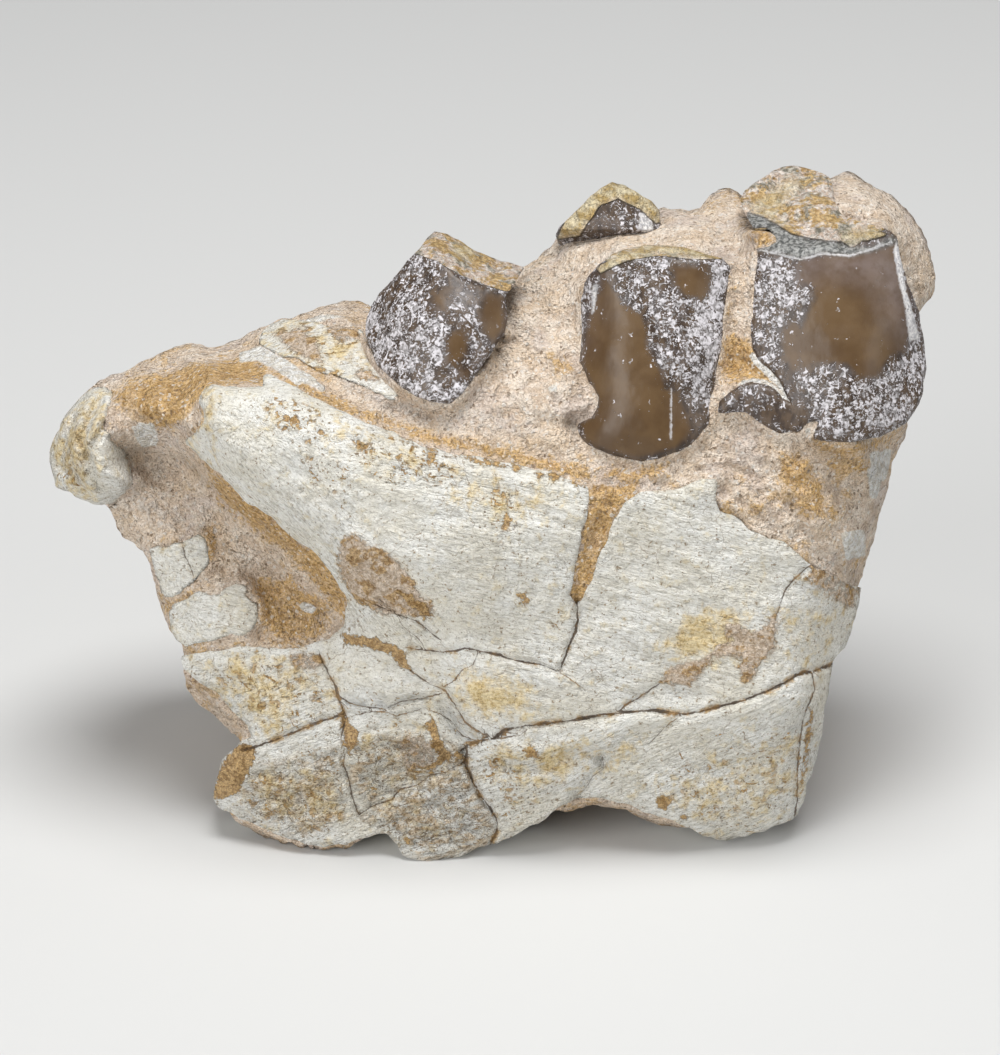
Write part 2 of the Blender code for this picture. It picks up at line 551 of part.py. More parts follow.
for old in list(bpy.data.objects):
    bpy.data.objects.remove(old)
parts = bpy.data.collections.new("fossil_mammal_jaw")
cutters = bpy.data.collections.new("cutters")
cutters.hide_render = True
for group in (parts, cutters):
    bpy.context.scene.collection.children.link(group)

matrix = pillow("matrix", BLOCK_OUTLINE, matrix_front, matrix_back, 45.0, 1.5, 0.16, 2380)
jaw_front = bone_front(JAW_OUTLINE, 0.5, 1.0)
jaw_bone = pillow("jaw_bone", JAW_OUTLINE, jaw_front, bone_back, 12.0, 1.2, 0.0, 1240)
small_bones = [
    thin_bone(name, outline, raised, rim, thickness, back_rim, voxel, triangles)
    for name, outline, raised, rim, thickness, back_rim, voxel, triangles in SMALL_BONES
]
tooth_bodies = [
    pillow(name, outline, front, tooth_back(outline, back_y, back_rim), room, voxel, taper, triangles)
    for name, outline, front, back_y, back_rim, room, voxel, taper, triangles in TEETH
]
left_tooth, middle_tooth, inner_cusp, right_tooth = tooth_bodies

combine(middle_tooth, inner_cusp, "UNION")
parts.objects.unlink(inner_cusp)
cutters.objects.link(inner_cusp)
inner_cusp.hide_render = True
inner_cusp.display_type = "WIRE"

under_floor = floor_cutter()
for body in (matrix, jaw_bone):
    combine(body, under_floor, "DIFFERENCE")
teeth = [left_tooth, middle_tooth, right_tooth]
bones = [*small_bones, jaw_bone]
rooms = {tooth: grown(tooth, GAP_MM) for tooth in teeth}
for bone in bones:
    for room in rooms.values():
        combine(bone, room, "DIFFERENCE")
for place, bone in enumerate(bones):
    room = grown(bone, GAP_MM)
    for other in bones[place + 1:]:
        combine(other, room, "DIFFERENCE")
    rooms[bone] = room
for room in rooms.values():
    combine(matrix, room, "DIFFERENCE")
for number, points in enumerate(MAIN_CRACKS, 1):
    combine(jaw_bone, crack_cutter(f"crack_{number}", points, jaw_front), "DIFFERENCE")

bone_colour = finish("bone", (0.74, 0.70, 0.60), 0.75)
matrix_colour = finish("sandy_matrix", (0.62, 0.46, 0.34), 0.9)
enamel_colour = finish("enamel", (0.10, 0.06, 0.035), 0.3)
for bodies, look in (([matrix], matrix_colour), (bones, bone_colour), (teeth, enamel_colour)):
    for body in bodies:
        drop_loose_pieces(body)
        body.data.materials.clear()
        body.data.materials.append(look)
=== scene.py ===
import math

import bpy
import numpy as np
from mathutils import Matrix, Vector
from mathutils.geometry import delaunay_2d_cdt


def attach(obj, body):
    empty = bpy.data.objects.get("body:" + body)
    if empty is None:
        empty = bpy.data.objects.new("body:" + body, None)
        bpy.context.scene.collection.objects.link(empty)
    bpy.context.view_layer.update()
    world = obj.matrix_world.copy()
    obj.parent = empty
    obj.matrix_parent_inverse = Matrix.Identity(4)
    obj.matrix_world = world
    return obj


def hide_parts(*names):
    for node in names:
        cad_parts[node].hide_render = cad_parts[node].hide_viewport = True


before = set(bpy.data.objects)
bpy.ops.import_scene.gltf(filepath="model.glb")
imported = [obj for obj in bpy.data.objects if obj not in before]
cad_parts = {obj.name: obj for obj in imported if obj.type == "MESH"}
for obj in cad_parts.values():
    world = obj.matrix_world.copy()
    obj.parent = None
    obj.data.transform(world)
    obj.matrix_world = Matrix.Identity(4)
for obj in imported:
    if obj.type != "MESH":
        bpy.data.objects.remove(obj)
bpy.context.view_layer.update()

# Sizes of the view frame that the CAD is laid out in: px right, py down, w away from the eye
LENGTH_MM = 130.0
OUTLINE_WIDE = 883.0
UNIT_MM = LENGTH_MM / OUTLINE_WIDE
EYE_MM = 620.0
EYE_TILT = math.radians(28.0)
CENTRE_PX = 500.0
CENTRE_PY = 527.5
ORIGIN_MM = (-4.0, -15.5, 48.6)
# How far back the block and the bone reach, the flat spot, and how thin a body may get
BACK_LOW_MM = 21.0
BACK_HIGH_MM = 28.0
BONE_MM = 9.0
REST_HALF_X = 17.0
REST_HALF_Y = 11.0
REST_SUNK_MM = 0.4
THINNEST_MM = 1.0
# How far around a crack, a drawn line or a bank it is worked out, and a distance that counts as far
CRACK_REACH_PX = 40.0
LINE_REACH_PX = 16.0
BANK_REACH_PX = 30.0
FAR_MM = 9.0
# The inner cusp's tip, the right tooth's upper edge, and how finely bone relief is cut into thin sheets
CUSP_TIP_PX = 612.0
CROWN_EDGE_PY = 245.0
SHEET_LEVELS = 2.2

# Waves of relief: height in mm, size in mm, seed, layers, fall from one layer to the next
MATRIX_WAVES = [(0.7, 9.0, 3, 1), (0.35, 4.0, 5, 1), (0.55, 2.4, 51, 3, 0.6), (0.14, 1.1, 57, 2)]
MATRIX_BACK_WAVES = [(3.6, 26.0, 21, 1), (1.7, 11.0, 23, 1), (0.7, 5.0, 24, 1), (0.5, 2.8, 25, 3, 0.6)]
BONE_WAVES = [(0.4, 7.0, 11, 1), (0.07, 1.6, 65, 2)]
FIBRE_WAVES = [(0.10, 5.0, 63, 3)]
BONE_BACK_WAVES = [(1.6, 9.0, 13, 1), (0.8, 4.0, 14, 1)]
ENAMEL_WAVES = [(0.10, 5.0, 101, 2), (0.03, 1.2, 104, 2)]
CHEWED_WAVES = [(1.0, 3.4, 110, 4, 0.6)]

# Outlines of the pieces: (px, py)
BLOCK_OUTLINE = [
    (51, 455), (53, 443), (58, 430), (60, 420), (65, 411), (72, 404), (80, 396), (88, 389), (100, 380),
    (112, 374), (128, 369), (140, 362), (150, 356), (163, 351), (178, 346), (190, 343), (200, 344),
    (210, 347), (222, 345), (240, 339), (252, 333), (265, 328), (278, 320), (290, 318), (315, 308),
    (330, 303), (345, 301), (358, 302), (370, 306), (382, 318), (405, 312), (430, 300), (455, 288),
    (480, 280), (500, 272), (520, 266), (530, 261), (540, 254), (550, 246), (558, 236), (572, 232),
    (600, 234), (640, 226), (655, 212), (662, 207), (680, 209), (690, 211), (700, 208), (707, 199),
    (714, 192), (728, 186), (738, 192), (752, 205), (780, 214), (808, 208), (822, 188), (830, 176),
    (839, 174), (847, 172), (855, 175), (863, 180), (872, 184), (881, 188), (890, 194), (898, 200),
    (905, 208), (913, 217), (920, 227), (925, 240), (929, 252), (933, 265), (934, 280), (935, 292),
    (930, 300), (924, 305), (919, 314), (912, 350), (909, 390), (907, 420), (906, 435), (900, 448),
    (893, 462), (888, 478), (883, 503), (876, 530), (872, 545), (866, 560), (862, 575), (856, 592),
    (849, 618), (842, 633), (834, 646), (826, 662), (826, 680), (824, 705), (823, 735), (818, 755),
    (810, 772), (802, 788), (796, 801), (788, 812), (768, 822), (745, 829), (725, 832), (705, 829),
    (680, 827), (660, 825), (640, 818), (625, 811), (600, 807), (585, 806), (565, 812), (545, 812),
    (520, 824), (498, 834), (475, 841), (455, 848), (440, 851), (425, 854), (410, 850), (400, 838),
    (385, 828), (372, 830), (360, 842), (345, 847), (325, 848), (305, 850), (292, 848), (265, 838),
    (250, 828), (235, 821), (225, 806), (224, 796), (228, 778), (232, 766), (240, 755), (244, 745),
    (240, 738), (232, 732), (222, 722), (212, 712), (200, 702), (190, 688), (182, 672), (184, 655),
    (182, 645), (174, 635), (168, 625), (164, 612), (160, 600), (155, 588), (152, 575), (147, 563),
    (141, 552), (134, 543), (125, 537), (117, 525), (112, 512), (100, 498), (85, 492), (68, 484),
    (60, 475), (57, 465),
]
JAW_OUTLINE = [
    (213, 385), (240, 386), (262, 386), (265, 374), (272, 375), (286, 384), (300, 391), (318, 400),
    (340, 411), (360, 419), (378, 427), (398, 436), (420, 445), (445, 453), (470, 455), (497, 463),
    (525, 466), (555, 474), (588, 487), (586, 515), (580, 550), (572, 580), (569, 595), (574, 603),
    (582, 597), (592, 580), (597, 562), (606, 542), (614, 520), (624, 504), (640, 492), (675, 490),
    (700, 480), (716, 478), (715, 497), (722, 512), (738, 514), (748, 528), (770, 538), (785, 540),
    (798, 555), (814, 566), (832, 574), (846, 584), (863, 590), (856, 620), (850, 635), (842, 648),
    (832, 662), (830, 680), (826, 710), (823, 735), (818, 755), (812, 772), (806, 790), (803, 803),
    (797, 815), (790, 822), (770, 830), (745, 838), (725, 840), (705, 836), (690, 828), (665, 819),
    (645, 812), (625, 805), (600, 798), (588, 796), (576, 798), (560, 808), (545, 820), (520, 834),
    (498, 842), (475, 849), (455, 857), (440, 860), (425, 863), (412, 860), (402, 854), (396, 844),
    (385, 833), (372, 836), (350, 842), (325, 846), (305, 845), (280, 835), (250, 821), (225, 813),
    (215, 804), (213, 797), (218, 775), (222, 762), (232, 752), (242, 742), (252, 738), (245, 722),
    (228, 705), (215, 690), (200, 683), (182, 670), (180, 657), (220, 650), (245, 645), (285, 648),
    (305, 644), (330, 638), (345, 626), (348, 608), (345, 592), (338, 582), (330, 570), (320, 560),
    (310, 550), (290, 535), (272, 518), (258, 510), (246, 504), (235, 492), (222, 476), (210, 467),
    (200, 459), (190, 450), (183, 443), (190, 437), (198, 430), (204, 421), (203, 412), (200, 402),
    (203, 394), (207, 387),
]
LUMP_OUTLINE = [
    (51, 455), (53, 443), (58, 430), (60, 420), (65, 411), (72, 404), (80, 396), (90, 389), (104, 388),
    (112, 395), (108, 412), (104, 428), (112, 440), (124, 450), (130, 466), (131, 482), (126, 494),
    (113, 505), (100, 505), (90, 503), (75, 497), (62, 490), (54, 485), (52, 470),
]
UPPER_FLAKE_OUTLINE = [
    (147, 549), (155, 545), (165, 546), (174, 541), (182, 541), (190, 537), (200, 534), (205, 538),
    (207, 550), (208, 562), (203, 570), (196, 577), (190, 583), (182, 590), (174, 597), (167, 598),
    (160, 590), (157, 578), (151, 564),
]
LOWER_FLAKE_OUTLINE = [
    (169, 612), (173, 604), (185, 598), (196, 592), (203, 593), (210, 596), (219, 594), (227, 587),
    (237, 583), (246, 585), (249, 590), (246, 595), (252, 599), (258, 603), (259, 614), (255, 623),
    (249, 632), (240, 636), (230, 635), (218, 640), (200, 644), (186, 647), (177, 641), (171, 628),
]
SOCKET_OUTLINE = [
    (262, 333), (270, 325), (282, 320), (297, 318), (308, 321), (322, 326), (340, 325), (352, 327),
    (364, 329), (366, 345), (370, 356), (376, 366), (384, 378), (396, 388), (402, 396), (394, 399),
    (380, 394), (366, 388), (350, 382), (334, 376), (318, 372), (306, 366), (296, 359), (282, 358),
    (270, 351), (258, 344),
]
LEFT_TOOTH_OUTLINE = [
    (435, 231), (427, 238), (420, 247), (410, 257), (400, 269), (390, 281), (380, 293), (372, 306),
    (367, 318), (366, 333), (369, 348), (378, 365), (387, 375), (398, 384), (415, 395), (434, 402),
    (450, 404), (463, 392), (478, 372), (493, 350), (504, 335), (507, 320), (507, 305), (507, 294),
    (516, 282), (525, 266), (512, 263), (500, 261), (488, 256), (475, 250), (460, 241), (447, 234),
]
MIDDLE_TOOTH_OUTLINE = [
    (584, 284), (590, 274), (602, 262), (612, 254), (630, 248), (660, 245), (685, 248), (705, 254),
    (722, 259), (730, 268), (728, 290), (724, 315), (721, 345), (716, 370), (712, 392), (710, 408),
    (708, 424), (698, 438), (688, 447), (672, 454), (658, 459), (643, 462), (628, 460), (612, 456),
    (598, 451), (588, 445), (580, 435), (577, 424), (583, 421), (591, 417), (597, 408), (597, 396),
    (591, 384), (585, 373), (580, 362), (581, 340), (581, 308),
]
INNER_CUSP_OUTLINE = [
    (556, 234), (560, 226), (566, 220), (574, 213), (582, 205), (590, 197), (600, 188), (611, 183),
    (625, 186), (640, 194), (652, 202), (660, 212), (662, 228), (658, 250), (652, 285), (640, 310),
    (605, 312), (580, 300), (568, 270), (560, 248),
]
RIGHT_TOOTH_OUTLINE = [
    (745, 190), (755, 183), (764, 178), (773, 171), (782, 167), (792, 165), (805, 167), (818, 171),
    (829, 176), (833, 188), (836, 202), (844, 213), (860, 221), (877, 226), (890, 230), (897, 236),
    (900, 250), (903, 268), (907, 284), (914, 300), (919, 312), (923, 330), (926, 348), (927, 368),
    (922, 396), (914, 412), (905, 424), (893, 431), (880, 436), (865, 440), (850, 443), (835, 443),
    (822, 442), (813, 439), (815, 430), (819, 421), (811, 421), (804, 426), (799, 433), (790, 432),
    (780, 434), (768, 428), (756, 421), (746, 412), (734, 411), (725, 414), (717, 413), (719, 402),
    (728, 392), (740, 385), (752, 382), (765, 384), (775, 390), (783, 399), (790, 403), (785, 392),
    (779, 381), (771, 371), (761, 363), (752, 350), (750, 335), (752, 318), (753, 298), (754, 280),
    (757, 262), (757, 248), (768, 246), (776, 239), (769, 229), (753, 229), (745, 213), (741, 198),
]

# Depths of the faces: (px, py, w in mm)
BLOCK_DEPTHS = [
    (65, 411, 6), (88, 389, 7), (128, 369, 8), (178, 346, 10), (222, 345, 10), (265, 328, 11),
    (315, 308, 12), (358, 302, 12), (100, 410, 1), (140, 390, 1), (190, 375, 2), (235, 370, 1),
    (280, 350, 3), (320, 335, 4), (350, 325, 5), (60, 450, 5), (80, 440, -1), (100, 470, -2),
    (85, 490, 2), (120, 485, 1), (110, 430, -2), (132, 445, 2), (150, 400, -3), (180, 420, -6),
    (200, 375, -2), (240, 378, -5), (212, 390, -8.5), (200, 430, -9), (240, 400, -10.5),
    (260, 430, -13), (230, 450, -11.5), (300, 415, -13), (340, 435, -13.5), (380, 450, -13.5),
    (420, 465, -13), (460, 478, -12.5), (500, 490, -12), (550, 500, -11.5), (590, 510, -11),
    (125, 455, 4), (160, 460, 5), (190, 475, 3), (140, 500, 5), (170, 510, 5), (215, 515, 3.5),
    (250, 545, 2.5), (200, 520, 4), (280, 570, 2), (310, 590, 1.5), (328, 615, 1.5), (230, 560, 3),
    (120, 500, 6), (135, 530, 7), (222, 470, -8), (262, 500, -9), (302, 530, -9), (335, 560, -8),
    (355, 590, -6), (370, 640, -2), (300, 470, -13), (350, 500, -13), (400, 520, -12.5),
    (450, 540, -12), (500, 550, -11), (380, 560, -10.5), (430, 590, -8.5), (480, 600, -8),
    (180, 560, 4.5), (210, 615, 4), (150, 580, 8), (165, 630, 9), (240, 610, 3), (200, 665, 6),
    (250, 690, 4), (300, 680, 3), (220, 700, 8), (330, 700, 2.5), (260, 730, 6), (240, 770, 9),
    (300, 780, 6.5), (330, 760, 5), (300, 830, 10), (240, 800, 11), (340, 820, 8.5), (380, 730, 2),
    (420, 760, 4), (430, 820, 7.5), (430, 855, 10), (470, 800, 7), (390, 790, 6.5), (360, 670, -0.5),
    (420, 680, -1), (480, 700, -1), (540, 700, -2), (450, 730, 2), (600, 560, -8.5), (560, 620, -5.5),
    (640, 620, -5.5), (600, 660, -3.5), (640, 540, -9), (700, 520, -9.5), (700, 600, -6.5),
    (760, 580, -6.5), (780, 640, -3.5), (700, 680, -2), (520, 760, 2.5), (560, 790, 5.5), (600, 780, 5),
    (640, 760, 3), (700, 760, 3), (760, 760, 4), (700, 810, 7.5), (760, 820, 11), (800, 780, 9),
    (620, 795, 6.5), (740, 835, 13), (820, 620, -1.5), (855, 600, 4), (850, 540, -3), (868, 560, 6),
    (880, 480, 0), (895, 450, 7), (800, 500, -8.5), (840, 480, -6.5), (830, 690, 7), (810, 700, 2),
    (800, 740, 5), (815, 755, 10), (590, 470, -10.5), (640, 480, -11), (700, 470, -10.5),
    (760, 460, -10), (820, 460, -9), (870, 450, -5), (400, 420, -9.5), (440, 430, -10.5),
    (480, 440, -10.5), (530, 450, -10.5), (560, 460, -10.5), (360, 395, -8), (380, 405, -9),
    (330, 380, -5.5), (300, 375, -5), (470, 410, -9.5), (510, 380, -7.5), (550, 390, -9),
    (580, 440, -10.5), (540, 340, -5), (570, 330, -6), (520, 320, -3.5), (540, 290, 0), (520, 275, 5),
    (565, 270, 1), (555, 245, 9), (575, 290, -3), (430, 330, -3), (400, 325, 1), (460, 300, 3),
    (380, 325, 5), (650, 350, -5), (650, 430, -7), (610, 300, -4), (700, 300, -4), (640, 262, -4.5),
    (620, 255, -5), (640, 238, 1), (600, 240, 1.5), (690, 248, -4), (690, 225, 2), (680, 212, 7),
    (705, 203, 9), (730, 190, 11), (738, 300, -7.5), (738, 350, -8), (735, 400, -9), (738, 265, -5.5),
    (740, 240, -1), (745, 215, 4), (840, 350, -4), (840, 400, -6), (840, 300, -3), (840, 260, -2),
    (800, 225, 3), (762, 238, -5), (845, 208, -3), (865, 212, -3), (885, 222, -4), (838, 190, 2),
    (862, 195, 2), (850, 178, 8), (882, 200, 3.5), (900, 212, 5), (912, 232, 4), (896, 232, -3),
    (920, 270, 3), (930, 285, 6), (905, 262, 0), (908, 300, 2), (912, 360, 2), (905, 430, 3),
]
LEFT_TOOTH_DEPTHS = [
    (437, 258, -8), (425, 272, -7.6), (410, 285, -7), (395, 295, -6), (380, 312, -4), (370, 335, -3.5),
    (400, 320, -8.5), (430, 300, -10), (470, 290, -9.8), (503, 300, -8.8), (420, 350, -11),
    (460, 340, -12), (495, 335, -10.5), (400, 378, -9.5), (440, 395, -12), (470, 372, -11.8),
    (383, 355, -6.5), (480, 315, -11), (430, 235, -6), (500, 262, -8),
]
MIDDLE_TOOTH_DEPTHS = [
    (585, 285, -7.5), (583, 350, -7.5), (580, 420, -8), (605, 275, -11), (605, 350, -11.2),
    (600, 430, -11), (650, 268, -11), (650, 350, -12.4), (650, 430, -12.6), (700, 272, -10.8),
    (700, 350, -11.8), (695, 430, -11.5), (728, 275, -9), (722, 340, -9.4), (712, 400, -9.6),
    (640, 460, -11), (680, 320, -12),
]
RIGHT_TOOTH_DEPTHS = [
    (756, 255, -8.5), (800, 255, -11), (845, 252, -11.4), (893, 240, -9.5), (760, 320, -9.5),
    (800, 320, -11.8), (850, 320, -12.8), (900, 320, -10), (925, 350, -5), (800, 400, -12),
    (850, 400, -13.4), (900, 400, -9.5), (850, 440, -12), (880, 360, -12), (760, 395, -11.4),
    (740, 395, -11.2), (720, 405, -10.6), (775, 425, -11.4), (760, 415, -11.2), (775, 380, -10.8),
    (790, 425, -11.6), (915, 300, -7.5),
]

# Cracks in the bone: half width and depth in mm, then the way they run
CRACKS = [
    (0.2, 0.6, [(410, 648), (440, 652), (455, 651), (465, 648), (480, 651), (500, 655), (512, 660),
        (540, 664), (560, 672)]),
    (0.12, 0.35, [(478, 653), (473, 665), (462, 670), (455, 680), (445, 686)]),
    (0.14, 0.4, [(410, 670), (420, 678), (432, 685), (445, 690), (450, 698), (458, 710), (465, 722),
        (475, 730), (492, 739)]),
    (0.32, 1.0, [(462, 750), (472, 743), (485, 740), (495, 738), (505, 730), (520, 727), (540, 724),
        (560, 722), (580, 719), (600, 715), (640, 711), (655, 710), (670, 713), (685, 714), (700, 712),
        (730, 704), (745, 700), (770, 690), (785, 683), (795, 676), (803, 672), (812, 672), (832, 664)]),
    (0.12, 0.3, [(492, 740), (520, 735), (530, 728)]),
    (0.24, 0.7, [(320, 655), (328, 673), (335, 685), (338, 698), (343, 710), (347, 718)]),
    (0.16, 0.6, [(341, 712), (344, 724), (341, 738), (345, 752), (343, 764), (349, 780), (352, 797),
        (359, 815)]),
    (0.12, 0.6, [(359, 815), (372, 806), (392, 799), (400, 789), (418, 785), (430, 775), (446, 772),
        (462, 763), (467, 756)]),
    (0.3, 0.9, [(244, 750), (258, 746), (275, 740), (300, 730), (320, 722), (341, 715)]),
    (0.1, 0.4, [(340, 697), (350, 703), (365, 707), (385, 709), (402, 701), (420, 699), (440, 694)]),
    (0.08, 0.3, [(380, 707), (396, 716), (424, 708), (440, 714), (452, 722), (462, 736), (474, 740)]),
    (0.26, 0.9, [(467, 745), (466, 765), (472, 780), (482, 798), (490, 808), (497, 820), (497, 832),
        (492, 842)]),
    (0.08, 0.15, [(680, 716), (668, 725), (650, 742)]),
    (0.16, 0.5, [(812, 672), (815, 690), (808, 705), (803, 720), (800, 740), (798, 760), (797, 800),
        (795, 815)]),
    (0.28, 1.0, [(576, 596), (578, 620), (575, 632), (570, 643), (566, 655), (562, 665), (560, 672)]),
    (0.09, 0.15, [(560, 672), (572, 680), (585, 690)]),
    (0.13, 0.35, [(777, 613), (782, 600), (785, 590), (795, 578), (812, 564)]),
    (0.18, 0.5, [(661, 682), (650, 690), (640, 697), (625, 705), (618, 713)]),
    (0.14, 0.5, [(365, 600), (392, 612), (418, 622), (440, 640)]),
    (0.14, 0.4, [(182, 541), (185, 556), (190, 566), (194, 577)]),
    (0.06, 0.3, [(602, 757), (604, 768), (592, 777), (586, 788), (578, 795)]),
    (0.07, 0.2, [(380, 600), (396, 612), (402, 626), (420, 640), (424, 648)]),
    (0.1, 0.3, [(352, 716), (370, 712), (388, 712)]),
    (0.12, 0.4, [(492, 740), (486, 732), (478, 744)]),
]
# Broad hollows and ledges in the bone: half width and depth in mm (less than zero stands proud)
FOLDS = [
    (0.9, 1.0, [(498, 760), (515, 768), (530, 769), (550, 764), (565, 758), (580, 752), (602, 757)]),
    (1.0, 1.1, [(602, 757), (603, 768), (594, 778), (584, 788), (578, 795)]),
    (1.1, -0.5, [(500, 748), (540, 754), (575, 742), (610, 746)]),
    (0.8, 0.6, [(690, 768), (720, 772), (742, 762), (770, 756)]),
    (0.8, 0.5, [(620, 742), (660, 728), (690, 716)]),
    (1.2, 0.5, [(640, 700), (665, 690), (700, 696)]),
    (1.0, 0.5, [(380, 600), (430, 622), (500, 640)]),
    (1.5, -0.6, [(212, 396), (260, 398), (310, 415), (360, 436), (420, 458), (500, 478), (570, 492)]),
    (2.0, -0.5, [(470, 790), (520, 790), (560, 775)]),
    (2.5, 0.5, [(420, 640), (500, 640), (560, 650)]),
    (0.6, 0.7, [(348, 704), (372, 706), (400, 704), (430, 698)]),
    (0.6, 0.6, [(444, 706), (452, 722), (470, 738)]),
    (0.6, -0.5, [(432, 712), (442, 730), (456, 744)]),
    (0.5, 0.5, [(372, 730), (400, 724), (424, 728)]),
    (0.5, 0.6, [(356, 752), (384, 744), (412, 746)]),
    (0.5, 0.6, [(364, 778), (392, 766), (430, 758)]),
    (0.6, 0.7, [(384, 826), (420, 806), (462, 796)]),
    (0.6, 0.6, [(404, 846), (440, 832), (482, 830)]),
    (0.5, 0.6, [(430, 790), (444, 812), (452, 840)]),
    (0.5, 0.6, [(250, 776), (290, 766), (336, 752)]),
    (0.5, 0.6, [(246, 800), (290, 796), (346, 776)]),
    (0.5, 0.5, [(270, 822), (310, 812), (348, 800)]),
    (0.6, 1.4, [(100, 398), (90, 416), (82, 440), (86, 458)]),
    (0.6, 1.3, [(74, 418), (66, 440), (60, 468)]),
    (0.6, 1.2, [(104, 424), (96, 440), (88, 452), (92, 474), (100, 488)]),
    (0.6, 1.1, [(68, 470), (78, 484), (92, 498)]),
    (0.7, -0.7, [(92, 396), (82, 414), (74, 440), (70, 462)]),
    (0.6, -0.6, [(106, 402), (100, 420), (94, 434)]),
    (1.2, -0.9, [(104, 462), (114, 476), (122, 486)]),
    (0.7, -0.6, [(214, 388), (217, 404), (212, 424)]),
    (0.7, -0.5, [(214, 388), (236, 387), (262, 389)]),
    (1.5, 0.6, [(350, 650), (400, 668), (450, 710)]),
    (1.6, -0.5, [(600, 730), (660, 722), (760, 708)]),
    (1.2, 0.5, [(250, 690), (290, 668), (320, 665)]),
]
# Pieces between cracks that lie deeper (or prouder, if less than zero): mm, outline
STEPS = [
    (0.55, [(343, 708), (392, 716), (440, 700), (468, 744), (468, 762), (430, 776), (398, 792),
        (358, 816), (350, 780), (344, 735)]),
    (0.15, [(360, 818), (400, 794), (440, 774), (470, 766), (482, 800), (497, 832), (488, 856),
        (425, 864), (396, 846)]),
    (0.35, [(178, 655), (322, 650), (340, 700), (341, 714), (300, 731), (244, 750), (205, 700)]),
    (0.25, [(324, 655), (410, 668), (446, 690), (440, 700), (392, 708), (342, 700)]),
    (0.35, [(408, 650), (476, 654), (455, 682), (430, 680)]),
    (-0.15, [(470, 672), (512, 660), (562, 672), (600, 712), (540, 724), (478, 740), (455, 706)]),
    (-0.25, [(470, 745), (540, 726), (640, 714), (700, 714), (812, 674), (840, 662), (840, 860),
        (500, 850), (484, 800), (468, 765)]),
]
# Kinds of patches on the bone and how soft their edges are, in px: "sand" is matrix left on it, "rust"
# brown-orange stain, "ochre" a yellow tint, "pores" a cluster of orange-brown pits, "grey" a cool smudge,
# "spongy" crumbly relief, "clean" no blots, and "steep" and "rising" are where the fibres run another way
BONE_SOFTNESS = {
    "sand": 7.0, "rust": 7.0, "ochre": 16.0, "pores": 12.0, "grey": 6.0, "spongy": 12.0, "steep": 40.0,
    "rising": 25.0, "clean": 14.0,
}
